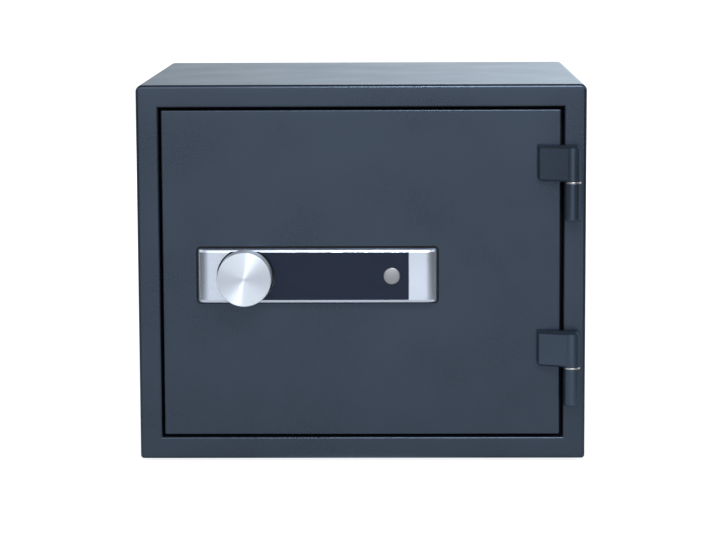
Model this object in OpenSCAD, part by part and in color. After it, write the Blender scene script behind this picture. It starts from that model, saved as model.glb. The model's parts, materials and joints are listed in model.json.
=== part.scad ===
// Free-standing fire-resistant safe with an electronic lock: a foam-plaster filled steel
// cabinet, a stepped door on two lift-off hinges, and a knob-driven boltwork.
// Millimetres. +Z is up, the door faces -Y and the hinges are on the +X side.
// The origin is the centre of the footprint, on the surface that the safe stands on.

/* [Casing] */
// Width of the steel casing
case_w = 412; // [400:1:440]
// Height of the steel casing, without its feet
case_h = 347; // [340:1:380]
// Depth of the steel casing, without what stands out of the door
case_d = 363; // [330:1:420]
// Thickness of the casing's steel sheet
sheet_t = 1.5; // [1:0.1:2]
// Width of the frame that shows round the door
frame_w = 20.5; // [19:0.5:24]
// Rounding of the casing's front edges and lower corners
edge_r = 3; // [2.1:0.1:5]
// Rounding of the casing's two upper corners
top_r = 6; // [3:0.5:10]
// Width of the lip round the back panel
back_lip = 12; // [8:1:20]
// Height of the rubber feet under the casing
foot_h = 3; // [2:0.5:6]
// Diameter of a rubber foot
foot_d = 24; // [16:1:36]
// Distance of each foot's centre in from the casing's sides
foot_inset = 32; // [25:1:50]

/* [Insulated walls] */
// Thickness of each side wall, from the casing's outside to the compartment
side_wall = 53; // [50:0.5:56]
// Thickness of the roof
roof_wall = 59.5; // [50:0.5:64]
// Thickness of the floor
floor_wall = 59.5; // [50:0.5:64]
// Thickness of the back wall
back_wall = 55; // [40:0.5:65]
// Thickness of the inner liner's sheet
liner_t = 1; // [0.6:0.1:2]

/* [Doorway] */
// How far the doorway narrows at its step, on each side
throat_step = 17; // [16:0.5:18]
// Thickness of the moulded doorway frame
jamb_t = 2; // [1.5:0.1:2.5]
// Gap between the back of the door's slab and the doorway's step
seat_gap = 2.5; // [2:0.1:3.5]
// Gap between the back of the door's plug and the front of the liner
plug_back_gap = 2; // [1.5:0.1:4]

/* [Door] */
// Gap along the door's free edge
gap_free = 2.5; // [2.3:0.1:4]
// Gap along the door's hinge edge
gap_hinge = 3; // [2:0.1:4]
// Gap along the door's top and bottom edges
gap_level = 2.5; // [1.5:0.1:4]
// Thickness of the door's slab
slab_t = 28; // [24:0.5:29]
// Rounding of the slab's front edges
slab_r = 1.2; // [0.6:0.1:1.4]
// Depth of the stepped plug behind the slab
plug_d = 38; // [36.5:0.5:40]
// Gap between the plug and the doorway on the hinge side, above and below
plug_gap = 3.5; // [2.5:0.1:5]
// Gap between the plug and the doorway at the free side's root
plug_free_gap = 4.5; // [4:0.1:6]
// How far the plug's free side leans in towards its back, to clear the doorway as it swings
plug_lead = 4; // [3.5:0.1:6]
// Thickness of the inner cover's sheet
cover_t = 1.5; // [1:0.1:2]
// Thickness of the rear cover panel that carries the battery hatch
panel_t = 2; // [1.5:0.1:2.5]
// Thickness of the slab of insulation at the plug's root
plug_fill_t = 9; // [7:0.5:9.5]
// Thickness of the lock's mounting plate
chassis_t = 1.5; // [1:0.1:2]
// Width of the soft seal round the slab's back
seal_w = 8; // [5:0.5:9]
// Width of the swelling fire strip inside the seal
strip_w = 4; // [2:0.5:5]

/* [Hinges] */
// Distance of the hinge axis in from the casing's side
hinge_inset = 13; // [12:0.5:13.5]
// Distance of the hinge axis in front of the door's face
hinge_proud = 10; // [9.5:0.5:11]
// Diameter of the knuckles
knuckle_d = 15.5; // [14:0.5:16]
// Length of the frame's knuckle
knuckle_h = 34; // [24:1:44]
// Height of the door's leaf
leaf_h = 33; // [24:1:40]
// Reach of the leaf from the hinge axis across the door
leaf_w = 32; // [26:1:40]
// Thickness of the leaf at its free edge
leaf_edge_t = 6; // [4.5:0.5:8]
// Bevel round the leaf's front
leaf_bevel = 3; // [1:0.1:3.5]
// Rounding of the leaf's lower free corner
leaf_corner_r = 4; // [3:0.5:8]
// Thickness of the washer between the knuckles
washer_t = 2; // [1:0.1:3]
// Diameter of the hinge pin
pin_d = 8; // [6:0.5:9]
// How far the pin reaches into each knuckle
pin_reach = 21; // [16:1:21]
// Distance of each hinge from the top and from the floor
hinge_margin = 55; // [48:1:70]

/* [Lock case] */
// Width of the lock case on the door
bezel_w = 220; // [205:1:230]
// Height of the lock case
bezel_h = 50; // [48:0.5:60]
// Thickness of the lock case
bezel_t = 8; // [7:0.5:10]
// Distance of the lock case's left end from the door's free edge
bezel_margin = 32.5; // [30:0.5:50]
// Rounding of the lock case's two ends towards the door
bezel_end_r = 7.5; // [5:0.5:7.5]
// Rounding of the lock case's corners, seen from the front
bezel_corner_r = 2.5; // [1:0.5:4]
// Width of the bevel along the lock case's top and bottom
bevel_w = 2.2; // [1:0.1:2.6]
// Drop of that bevel
bevel_t = 1.1; // [0.4:0.1:1.8]
// Thickness of the gasket behind the lock case
gasket_t = 1.5; // [1:0.1:2]
// How far the gasket shows round the lock case
gasket_lip = 1.4; // [0.5:0.1:2.5]
// Width of the gasket's band
gasket_band = 7; // [5:0.5:9]
// Height of the touch window
window_h = 44.2; // [42:0.2:44.4]
// Thickness of the touch window
window_t = 2; // [1.5:0.1:2.5]
// Silver part of the lock case to the right of the window
window_margin = 26; // [20:0.5:34]
// Diameter of the round recess that the knob turns in
moat_d = 52.4; // [51:0.2:56]
// Depth of that recess
moat_depth = 2.2; // [1.8:0.1:4]
// Thickness of the black collar on the recess's floor
collar_t = 1; // [0.6:0.1:1.4]

/* [Knob] */
// Diameter of the knob
knob_d = 49.5; // [46:0.5:50]
// How far the knob's face stands in front of the door
knob_proud = 33; // [26:0.5:40]
// Distance of the knob's axis from the lock case's left end
knob_inset = 44; // [40:0.5:48]
// Thickness of the knob cap's face
cap_face_t = 1.5; // [1:0.1:2.5]
// Thickness of the knob cap's skirt
cap_skirt_t = 1.15; // [0.8:0.05:2]
// Bevel round the knob's face
cap_bevel = 0.8; // [0.4:0.1:1]
// Diameter of the knob's spindle
spindle_d = 8; // [6:0.5:10]

/* [Badge and override lock] */
// Diameter of the pull-off badge
badge_d = 15.3; // [14.8:0.1:17]
// How far the badge stands out of the window
badge_t = 1.5; // [1:0.1:3]
// Distance of the badge's centre from the lock case's right end
badge_inset = 41.7; // [38:0.1:46]
// Diameter of the override lock's housing
barrel_d = 14; // [12:0.5:14]
// Diameter of the turning plug in the override lock
core_d = 9; // [7:0.5:10]
// Height of the keyway
keyway_h = 6; // [4:0.5:6.5]
// Width of the keyway
keyway_w = 1.6; // [1:0.1:2.5]
// Length of the override lock's cam
cam_l = 13; // [9:0.5:16]

/* [Boltwork] */
// Diameter of the locking bolts
bolt_d = 14; // [10:0.5:14]
// Height of each bolt above and below the knob's axis
bolt_spread = 85; // [70:1:95]
// Depth of the bolts' axes behind the door's face
bolt_depth = 46; // [45.5:0.5:47]
// Module of the lock's gear teeth
tooth_m = 1; // [1]
// Teeth on the drive gear
gear_teeth = 24; // [24:4:32]
// Teeth on the motor's pinion
pinion_teeth = 12; // [12]
// Thickness of the drive gear
gear_t = 6; // [4:0.5:7]
// Thickness of the bolt carrier
carrier_t = 4; // [3:0.5:5]
// Width of the carrier's upright bar
carrier_w = 10; // [8:0.5:11]
// Height of the carrier's rack bar above its teeth
rack_h = 9; // [6:0.5:14]
// Length of the carrier's rack bar
rack_l = 45; // [42:1:60]
// Distance of the carrier's guide pins above and below the knob's axis
guide_spread = 60; // [48:1:64]
// Length of each bolt's brass bush
bush_l = 8; // [5:0.5:8]
// Reach of the fixed hinge-side dogs past the plug
dog_reach = 14.5; // [10:0.5:14.5]
// Wall of the steel keepers behind the doorway
keeper_t = 1.5; // [1:0.1:1.5]

/* [Electrics] */
// Diameter of a battery cell
cell_d = 14.5; // [14.5]
// Length of a battery cell
cell_l = 50.5; // [50.5]
// Number of battery cells
cell_count = 4; // [4]
// Wall of the battery box
box_t = 1.5; // [1:0.1:2]
// Travel of the battery hatch
hatch_travel = 12; // [8:1:14]
// Thickness of the battery hatch
hatch_t = 2; // [1.4:0.1:2.5]
// Diameter of the lock's cables
cable_d = 4; // [3:0.2:5]
// Thickness of the circuit boards
board_t = 1.6; // [1:0.2:2]

/* [Compartment] */
// Height of the shelf above the compartment's floor
shelf_z = 112; // [60:1:160]
// Thickness of the shelf
shelf_t = 1.2; // [0.8:0.1:2]
// Height of the shelf's folded edges
shelf_lip = 12; // [8:1:20]
// Gap in front of the shelf
shelf_setback = 28; // [20:1:60]
// Thickness of the felt mat
mat_t = 2; // [1:0.5:4]

/* [Anchors] */
// Distance between the two floor anchor holes
anchor_span = 180; // [120:5:220]
// Diameter of the anchor holes
anchor_d = 13; // [10:0.5:16]
// Wall of the anchor sleeves
sleeve_t = 1.5; // [1:0.1:2.5]

/* [Clearances] */
// Radial clearance of a turning fit
run_play = 0.05; // [0.02:0.01:0.1]
// Clearance between flat sliding faces
slide_play = 0.3; // [0.2:0.05:0.5]
// Clearance round a seated panel
seat_play = 0.2; // [0.1:0.05:0.4]
// Backlash between gear teeth
backlash = 0.3; // [0.25:0.05:0.5]

/* [Hidden] */
$fn = 64;
eps = 0.01;
cut = 5;

// Casing: the front plane is the plane of the frame and of the closed door's face
front_y = knob_proud - (case_d + knob_proud) / 2;
side_x = case_w / 2;
base_z = foot_h;
roof_z = foot_h + case_h;
door_way_x = side_x - frame_w;
door_way_z = [base_z + frame_w, roof_z - frame_w];
back_panel_d = [case_d - 2 * sheet_t, case_d - sheet_t];

// Doorway: a pocket for the slab, a step, then a throat for the plug
pocket_d = slab_t + seat_gap;
throat_x = door_way_x - throat_step;
throat_z = [door_way_z[0] + throat_step, door_way_z[1] - throat_step];
throat_d = slab_t + plug_d + plug_back_gap;

// Compartment, inside the liner
room_x = side_x - side_wall;
room_z = [base_z + floor_wall, roof_z - roof_wall];
room_d = [throat_d + liner_t, case_d - back_wall];

// Door slab and plug
door_x = [-door_way_x + gap_free, door_way_x - gap_hinge];
door_z = [door_way_z[0] + gap_level, door_way_z[1] - gap_level];
plug_x = [-throat_x + plug_free_gap, throat_x - plug_gap];
plug_z = [throat_z[0] + plug_gap, throat_z[1] - plug_gap];
plug_end = slab_t + plug_d;
chassis_d = [slab_t + plug_fill_t, slab_t + plug_fill_t + chassis_t];

// Hinges
hinge_x = side_x - hinge_inset;
knuckle_r = knuckle_d / 2;
pin_r = pin_d / 2;
hinge_z = [hinge_margin + knuckle_h + washer_t, roof_z - hinge_margin - leaf_h];
leaf_x = hinge_x - leaf_w;
leaf_slope = atan2(hinge_proud + knuckle_r - leaf_edge_t, leaf_w);
leaf_lift = 1.2;
leaf_inset = 2;
knuckle_edge = 0.6;
knuckle_bevel = 0.8 * leaf_bevel;
knuckle_foot = 1.5;
weld_pad = 10;

// Lock case: its centre, ends and front face
bezel_x = [door_x[0] + bezel_margin, door_x[0] + bezel_margin + bezel_w];
lock_drop = 1.25;
lock_z = (door_z[0] + door_z[1]) / 2 - lock_drop;
bezel_z = [lock_z - bezel_h / 2, lock_z + bezel_h / 2];
bezel_front = gasket_t + bezel_t;
rim_z = bezel_h / 2 - bevel_w;
window_x = bezel_x[1] - window_margin;
window_sink = 0.2;
window_front = bezel_front - window_sink;
window_back = window_front - window_t;
screw_inset = 10;
screw_rise = 14;
screw_x = [bezel_x[0] + screw_inset, bezel_x[1] - screw_inset];
screw_z = [lock_z - screw_rise, lock_z + screw_rise];
screw_r = 2;
screw_bite = 2.5;
screw_head_t = 3;

// Knob and spindle
knob_x = bezel_x[0] + knob_inset;
knob_r = knob_d / 2;
knob_gap = 0.6;
spindle_r = spindle_d / 2;
collar_front = bezel_front - moat_depth + collar_t;
knob_back = bezel_front + knob_gap;
core_web = 8;
spindle_front = knob_proud - cap_face_t - core_web;
sleeve_wall = 3;
sleeve_r = spindle_r + sleeve_wall;

// Space behind the window for the touch board
bay_gap = 5.3;
bay_inset = 6;
bay_x = [knob_x + moat_d / 2 + bay_gap, window_x - bay_inset];
bay_h = 34;

// Badge and override lock
badge_x = bezel_x[1] - badge_inset;
badge_r = badge_d / 2;
barrel_r = barrel_d / 2;
core_r = core_d / 2;
barrel_front = window_back - 0.3;
barrel_end = chassis_d[1] + 1;
stub_play = 0.1;
badge_bevel = [0.6, 0.4];
plug_sunk = 0.2;
plug_tail = 5;
keyway_end = 20;
cam_t = 2.5;
cam_rim = 2;
cam_w = 6;

// Boltwork
bolt_r = bolt_d / 2;
bolt_z = [lock_z - bolt_spread, lock_z + bolt_spread];
bolt_tip_gap = 3;
bolt_nose = 1;
bolt_tip = plug_x[0] + bolt_tip_gap;
bolt_throw = PI * tooth_m * gear_teeth / 4;
gear_r = tooth_m * gear_teeth / 2;
pinion_r = tooth_m * pinion_teeth / 2;
carrier_d = [bolt_depth - carrier_t / 2, bolt_depth + carrier_t / 2];
gear_d = [bolt_depth - gear_t / 2, bolt_depth + gear_t / 2];
bush_inset = 1.5;
bush_wall = 2.5;
bush_x = [bolt_tip + bush_inset, bolt_tip + bush_inset + bush_l];
bush_r = bolt_r + bush_wall;
carrier_gap = 1;
carrier_x = [bush_x[1] + bolt_throw + carrier_gap, bush_x[1] + bolt_throw + carrier_gap + carrier_w];
rack_z = lock_z + gear_r;
rack_x = [carrier_x[1], carrier_x[1] + rack_l];
tooth_top = 0.9 * tooth_m;
tooth_root = 1.3 * tooth_m;
tooth_sunk = 0.5;
pressure_angle = 20;
rack_end = 3;
block_wall = 2;
block_h = bolt_d + 2 * block_wall;
spigot_r = 3;
spigot_l = carrier_w - block_wall;
guide_r = 2.5;
guide_wall = 4;
guide_head = 2;
guide_x = carrier_x[1] + guide_r + guide_wall;
guide_z = [lock_z - guide_spread, lock_z + guide_spread];
arm_x = guide_x + bolt_throw + guide_r + guide_wall;
arm_h = 4 * guide_r + guide_wall;
pinion_z = lock_z - gear_r - pinion_r;
dog_tip = plug_x[1] + dog_reach;
dog_l = 24;
dog_root = plug_x[1] - dog_l;

// Lock motor, its feet and its shaft
motor_left = 15;
motor_right = 16;
motor_half = 11;
motor_gap = 1.5;
motor_x = [knob_x - motor_left, knob_x + motor_right];
motor_d = [gear_d[1] + motor_gap, plug_end - panel_t - 1];
motor_foot_r = 2.5;
shaft_r = 2;
shaft_l = 6;

// Keepers: pockets behind the doorway, for the bolts on the left and the dogs on the right
keeper_room = 13;
keeper_above = 3;
keeper_ahead = 2.5;
keeper_behind = 3.5;
keeper_end = throat_x + jamb_t + keeper_room;
keeper_half = bolt_r + keeper_above;
keeper_back = bolt_depth + bolt_r + keeper_behind;
keeper_d = [[bolt_depth - bolt_r - keeper_ahead, keeper_back], [pocket_d + jamb_t, keeper_back]];

// Rear cover's screws, with posts that stand on the mounting plate
cover_screw_r = 1.8;
cover_screw_inset = 12;
cover_head_r = 3.6;
cover_head_t = 1.4;
cover_post_r = 4;
cross_l = 2.4;
cross_w = 1;

// Batteries: four cells side by side behind a hatch in the rear panel
cell_gap = 0.4;
cell_cap_t = 1.5;
cell_cap_r = 2.7;
cell_room = 3;
box_margin = 40;
box_drop = 45;
box_in = [cell_count * (cell_d + cell_gap) + cell_gap, cell_l + cell_room];
box_x = [plug_x[1] - box_margin - box_in[0] - 2 * box_t, plug_x[1] - box_margin];
box_z = [lock_z - box_drop, lock_z - box_drop + box_in[1] + 2 * box_t];
box_d = [plug_end - panel_t - cell_d - 2 * cell_gap - box_t, plug_end - panel_t];
hatch_edge = 4;
hook_w = 6;
hook_t = 2;
hook_gap = 0.7;
hook_lip = 1.5;
hook_foot_t = 1.2;
hook_inset = 12;
box_window_inset = 20;
hook_x = [box_x[0] + hook_inset, box_x[1] - hook_inset - hook_w];
grip_pitch = 3;
grip_margin = 18;
grip_h = 0.8;
grip_slots = [2 : 6];

// Boards and cables: every corner of a cable's route, in X, depth and Z
board_left = 46.5;
board_w = 105;
board_rise = 42;
board_h = 44;
board_gap = 1;
board_x = [knob_x + board_left, knob_x + board_left + board_w];
board_z = [lock_z + board_rise, lock_z + board_rise + board_h];
board_d = [gear_d[1] + board_gap, gear_d[1] + board_gap + board_t];
board_post_r = 2.5;
chip_w = 18;
chip_h = 14;
chip_t = 2;
socket_inset = 15;
socket_rise = 8;
socket_z = board_z[0] + socket_rise;
cable_r = cable_d / 2;
touch_lead_shift = 2.5;
touch_lead_drop = 10;
touch_lead_slack = 5;
battery_lead_inset = 18;
battery_lead_slack = 4.5;
motor_lead_slack = 6.5;
touch_lead_x = (board_x[0] + board_x[1]) / 2 - touch_lead_shift;
touch_lead_z = lock_z - touch_lead_drop;
touch_lead_d = board_d[0] - touch_lead_slack;
battery_lead_x = [board_x[1] - socket_inset, box_x[0] + battery_lead_inset];
battery_lead_d = board_d[1] + battery_lead_slack;
motor_lead_x = board_x[0] + socket_inset;
motor_lead_d = board_d[1] + motor_lead_slack;
touch_lead = [
    [touch_lead_x, -window_back + board_t, touch_lead_z],
    [touch_lead_x, touch_lead_d, touch_lead_z],
    [touch_lead_x, touch_lead_d, socket_z],
    [touch_lead_x, board_d[0], socket_z]
];
battery_lead = [
    [battery_lead_x[0], board_d[1], socket_z],
    [battery_lead_x[0], battery_lead_d, socket_z],
    [battery_lead_x[1], battery_lead_d, socket_z],
    [battery_lead_x[1], battery_lead_d, box_z[1]]
];
motor_lead = [
    [motor_lead_x, board_d[1], socket_z],
    [motor_lead_x, motor_lead_d, socket_z],
    [motor_lead_x, motor_lead_d, pinion_z],
    [motor_x[1], motor_lead_d, pinion_z]
];
lead_hole_r = cable_r + 1;

// Compartment fittings
shelf_top = room_z[0] + shelf_z;
shelf_gap = 2;
shelf_rear_gap = 12;
shelf_d = [room_d[0] + shelf_setback, room_d[1] - shelf_rear_gap];
clip_w = 10;
clip_t = 3;
clip_inset = 25;
clip_d = [shelf_d[0] + clip_inset, shelf_d[1] - clip_inset];
anchor_r = anchor_d / 2;
anchor_x = [-anchor_span / 2, anchor_span / 2];
anchor_depth = case_d / 2;
foot_y = [foot_inset, case_d - foot_inset];
foot_x = [-side_x + foot_inset, side_x - foot_inset];

// A box between two X, two Z and two depths behind the front plane
module block(x, z, d)
    translate([x[0], front_y + d[0], z[0]])
        cube([x[1] - x[0], d[1] - d[0], z[1] - z[0]]);

// A round bar from front to back
module rod(x, z, r, d)
    translate([x, front_y + d[0], z])
        rotate([-90, 0, 0])
            cylinder(r = r, h = d[1] - d[0]);

// A round bar from left to right at one depth
module bar(x, z, r, depth)
    translate([x[0], front_y + depth, z])
        rotate([0, 90, 0])
            cylinder(r = r, h = x[1] - x[0]);

// An upright round bar at one depth
module post(x, z, r, depth)
    translate([x, front_y + depth, z[0]])
        cylinder(r = r, h = z[1] - z[0]);

// A turned piece on an upright axis, from an outline of radius and height
module turned(x, depth)
    translate([x, front_y + depth, 0])
        rotate_extrude()
            children();

// A flat shape, seen from the front, given a thickness between two depths
module faced(d)
    translate([0, front_y + d[1], 0])
        rotate([90, 0, 0])
            linear_extrude(d[1] - d[0])
                children();

// A flat shape, seen from above with depth as its second axis, raised between two heights
module raised(z)
    translate([0, front_y, z[0]])
        linear_extrude(z[1] - z[0])
            children();

// A flat shape of depth and height, run from one X to another
module run(x)
    translate([x[0], front_y, 0])
        rotate([90, 0, 90])
            linear_extrude(x[1] - x[0])
                children();

// A rectangle with its own radius at each corner, from the lower left and anticlockwise
module round_rect(x, y, r) {
    corners = [
        [x[0], y[0], 1, 1, r[0]],
        [x[1], y[0], -1, 1, r[1]],
        [x[1], y[1], -1, -1, r[2]],
        [x[0], y[1], 1, -1, r[3]]
    ];
    difference() {
        translate([x[0], y[0]]) square([x[1] - x[0], y[1] - y[0]]);
        for (c = corners)
            if (c[4] > 0)
                difference() {
                    translate([c[0] - (c[2] > 0 ? 1 : c[4]), c[1] - (c[3] > 0 ? 1 : c[4])])
                        square(c[4] + 1);
                    translate([c[0] + c[2] * c[4], c[1] + c[3] * c[4]]) circle(c[4]);
                }
    }
}

// A rectangular ring, seen from the front
module ring_rect(x, z, w)
    difference() {
        translate([x[0], z[0]]) square([x[1] - x[0], z[1] - z[0]]);
        translate([x[0] + w, z[0] + w]) square([x[1] - x[0] - 2 * w, z[1] - z[0] - 2 * w]);
    }

// The casing's outside, drawn in by a distance all round
module casing_solid(inset) {
    x = [-side_x + inset, side_x - inset];
    z = [base_z + inset, roof_z - inset];
    d = [inset, case_d - inset];
    e = edge_r - inset;
    t = max(top_r, edge_r) - inset;
    intersection() {
        faced(d) round_rect(x, z, [e, e, t, t]);
        raised([base_z - cut, roof_z + cut]) round_rect(x, d, [e, e, 0, 0]);
        run([-side_x - cut, side_x + cut]) round_rect(d, z, [e, 0, 0, e]);
    }
}

// The two anchor bores, of any radius, up through the floor
module anchor_bores(r)
    for (x = anchor_x)
        post(x, [base_z - cut, room_z[0] + cut], r, anchor_depth);

// Holes through the slab for the lock: spindle, override lock and cable
module lock_holes(d) {
    rod(knob_x, lock_z, sleeve_r, d);
    rod(badge_x, lock_z, barrel_r, d);
    rod(touch_lead[0][0], touch_lead[0][2], lead_hole_r, d);
}

// A cable along a route of corners, with round elbows; the ends are cut square
module cable(route) {
    for (i = [0 : len(route) - 2]) {
        a = route[i];
        b = route[i + 1];
        low = [min(a[0], b[0]), min(a[1], b[1]), min(a[2], b[2])];
        high = [max(a[0], b[0]), max(a[1], b[1]), max(a[2], b[2])];
        if (a[0] != b[0]) bar([low[0], high[0]], a[2], cable_r, a[1]);
        if (a[1] != b[1]) rod(a[0], a[2], cable_r, [low[1], high[1]]);
        if (a[2] != b[2]) post(a[0], [low[2], high[2]], cable_r, a[1]);
    }
    for (i = [1 : len(route) - 2])
        translate([route[i][0], front_y + route[i][1], route[i][2]]) sphere(cable_r);
}

// ---- Cabinet ----

module outer_casing() color([0.24, 0.28, 0.33])
    difference() {
        union() {
            difference() {
                casing_solid(0);
                casing_solid(sheet_t);
            }
            faced([sheet_t, pocket_d])
                ring_rect([-door_way_x - sheet_t, door_way_x + sheet_t],
                          [door_way_z[0] - sheet_t, door_way_z[1] + sheet_t], sheet_t);
        }
        block([-door_way_x, door_way_x], door_way_z, [-cut, pocket_d + cut]);
        block([-side_x + back_lip, side_x - back_lip], [base_z + back_lip, roof_z - back_lip],
              [case_d - sheet_t - eps, case_d + cut]);
        anchor_bores(anchor_r + sleeve_t);
    }

module back_panel() color([0.24, 0.28, 0.33])
    intersection() {
        casing_solid(sheet_t + seat_play);
        block([-side_x, side_x], [base_z, roof_z], back_panel_d - [0, seat_play]);
    }

// The space of the bolt pockets in the insulation; the keepers fill it
module keeper_blocks(side)
    for (z = bolt_z)
        block(side > 0 ? [throat_x + jamb_t, keeper_end] : [-keeper_end, -throat_x - jamb_t],
              [z - keeper_half, z + keeper_half], keeper_d[side > 0 ? 1 : 0]);

module keepers(side)
    difference() {
        keeper_blocks(side);
        for (z = bolt_z)
            block(side > 0 ? [throat_x, keeper_end - keeper_t] : [keeper_t - keeper_end, -throat_x],
                  [z - keeper_half + keeper_t, z + keeper_half - keeper_t],
                  keeper_d[side > 0 ? 1 : 0] + [keeper_t, -keeper_t]);
    }

// The space under the compartment, behind the doorway
module floor_slab()
    block([-side_x, side_x], [base_z, room_z[0] - liner_t],
          [throat_d + liner_t, back_panel_d[0]]);

module floor_insulation() color([0.86, 0.84, 0.78])
    difference() {
        intersection() {
            casing_solid(sheet_t);
            floor_slab();
        }
        anchor_bores(anchor_r + sleeve_t);
    }

module body_insulation() color([0.86, 0.84, 0.78])
    difference() {
        intersection() {
            casing_solid(sheet_t);
            block([-side_x, side_x], [base_z, roof_z], [sheet_t, back_panel_d[0]]);
        }
        floor_slab();
        block([-door_way_x - sheet_t, door_way_x + sheet_t],
              [door_way_z[0] - sheet_t, door_way_z[1] + sheet_t], [-cut, pocket_d + jamb_t]);
        block([-throat_x - jamb_t, throat_x + jamb_t],
              [throat_z[0] - jamb_t, throat_z[1] + jamb_t], [0, throat_d + liner_t]);
        block([-room_x - liner_t, room_x + liner_t],
              [room_z[0] - liner_t, room_z[1] + liner_t], [0, room_d[1] + liner_t]);
        keeper_blocks(-1);
        keeper_blocks(1);
    }

module jamb_frame() color([0.13, 0.14, 0.15])
    difference() {
        union() {
            block([-door_way_x - sheet_t, door_way_x + sheet_t],
                  [door_way_z[0] - sheet_t, door_way_z[1] + sheet_t],
                  [pocket_d, pocket_d + jamb_t]);
            block([-throat_x - jamb_t, throat_x + jamb_t],
                  [throat_z[0] - jamb_t, throat_z[1] + jamb_t], [pocket_d, throat_d]);
        }
        block([-throat_x, throat_x], throat_z, [0, throat_d + cut]);
        for (z = bolt_z) {
            bar([-side_x, 0], z, bolt_r + 1, bolt_depth);
            block([0, throat_x + jamb_t + cut], [z - bolt_r - 1, z + bolt_r + 1],
                  [pocket_d + jamb_t + 1.3, bolt_depth + bolt_r + 1]);
        }
    }

module inner_liner() color([0.72, 0.73, 0.74])
    difference() {
        union() {
            block([-throat_x - jamb_t, throat_x + jamb_t],
                  [throat_z[0] - jamb_t, throat_z[1] + jamb_t], [throat_d, throat_d + liner_t]);
            block([-room_x - liner_t, room_x + liner_t],
                  [room_z[0] - liner_t, room_z[1] + liner_t], [throat_d, room_d[1] + liner_t]);
        }
        block([-room_x, room_x], room_z, [0, room_d[1]]);
        anchor_bores(anchor_r);
    }

module bolt_keepers() color([0.6, 0.62, 0.65]) keepers(-1);

module dog_keepers() color([0.6, 0.62, 0.65]) keepers(1);

// A pressed shelf with its four edges folded down
module shelf() color([0.24, 0.28, 0.33])
    difference() {
        x = room_x - shelf_gap;
        block([-x, x], [shelf_top - shelf_lip, shelf_top], shelf_d);
        block([-x + shelf_t, x - shelf_t], [shelf_top - shelf_lip - cut, shelf_top - shelf_t],
              [shelf_d[0] + shelf_t, shelf_d[1] - shelf_t]);
    }

// Four clips on the liner's sides; the shelf's side edges stand on them
module shelf_clips() color([0.55, 0.57, 0.6])
    for (x = [-room_x, room_x - clip_w], d = clip_d)
        block([x, x + clip_w], [shelf_top - shelf_lip - clip_t, shelf_top - shelf_lip],
              [d - clip_w / 2, d + clip_w / 2]);

module floor_mat() color([0.2, 0.2, 0.22])
    difference() {
        block([-room_x + 1, room_x - 1], [room_z[0], room_z[0] + mat_t],
              [room_d[0] + 2, room_d[1] - 1]);
        anchor_bores(anchor_r + 4);
    }

module rubber_feet() color([0.06, 0.06, 0.06])
    for (x = foot_x, d = foot_y)
        turned(x, d) polygon([[0, 0], [foot_d / 2 - 1, 0], [foot_d / 2, 1],
                              [foot_d / 2, foot_h], [0, foot_h]]);

module anchor_sleeves() color([0.62, 0.64, 0.66])
    for (x = anchor_x)
        difference() {
            post(x, [base_z, room_z[0] - liner_t], anchor_r + sleeve_t, anchor_depth);
            post(x, [base_z - cut, room_z[0] + cut], anchor_r, anchor_depth);
        }

// ---- Hinges: z is where the door's leaf begins ----

module frame_knuckle(z) {
    low = z - washer_t - knuckle_h;
    high = z - washer_t;
    difference() {
        union() {
            turned(hinge_x, -hinge_proud)
                polygon([[0, low], [knuckle_r - knuckle_foot, low], [knuckle_r, low + knuckle_foot],
                         [knuckle_r, high], [0, high]]);
            block([hinge_x - weld_pad / 2, hinge_x + weld_pad / 2],
                  [low + 2 * knuckle_foot, high - knuckle_edge], [-hinge_proud, 0]);
        }
        post(hinge_x, [high - pin_reach, high + cut], pin_r, -hinge_proud);
    }
}

module hinge_pin(z) {
    low = z - washer_t - pin_reach;
    high = z + pin_reach;
    turned(hinge_x, -hinge_proud)
        polygon([[0, low], [pin_r, low], [pin_r, high - knuckle_foot], [pin_r - knuckle_foot, high],
                 [0, high]]);
}

module hinge_washer(z)
    difference() {
        post(hinge_x, [z - washer_t, z - run_play], knuckle_r - 0.2, -hinge_proud);
        post(hinge_x, [z - washer_t - cut, z + cut], pin_r, -hinge_proud);
    }

// The leaf rises from its thin free edge to the knuckle, and all its front edges are bevelled
module hinge_leaf(z) {
    low = z;
    high = z + leaf_h;
    side_bevel = 0.7 * leaf_bevel;
    low_bevel = 0.6 * leaf_bevel;
    // The slope ends inside the knuckle, a little to the left of its axis
    slope_end = leaf_w - knuckle_r / 4;
    difference() {
        union() {
            intersection() {
                raised([low, high])
                    polygon([
                        [leaf_x, 0],
                        [leaf_x, side_bevel - leaf_edge_t],
                        [leaf_x + side_bevel, -leaf_edge_t - side_bevel * tan(leaf_slope)],
                        [leaf_x + slope_end, -leaf_edge_t - slope_end * tan(leaf_slope)],
                        [leaf_x + slope_end, -hinge_proud],
                        [hinge_x, -hinge_proud],
                        [hinge_x, -leaf_lift],
                        [door_x[1] - leaf_inset, -leaf_lift],
                        [door_x[1] - leaf_inset, 0]
                    ]);
                leaf_bevels(low, high, low_bevel);
                faced([-2 * knuckle_d, cut])
                    round_rect([leaf_x, hinge_x + knuckle_r], [low, high], [leaf_corner_r, 0, 0, 0]);
            }
            turned(hinge_x, -hinge_proud)
                polygon([[0, low], [knuckle_r - knuckle_edge, low], [knuckle_r, low + knuckle_edge],
                         [knuckle_r, high - knuckle_bevel], [knuckle_r - knuckle_bevel, high],
                         [0, high]]);
        }
        post(hinge_x, [low - cut, low + pin_reach + 1], pin_r + run_play, -hinge_proud);
    }
}

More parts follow.
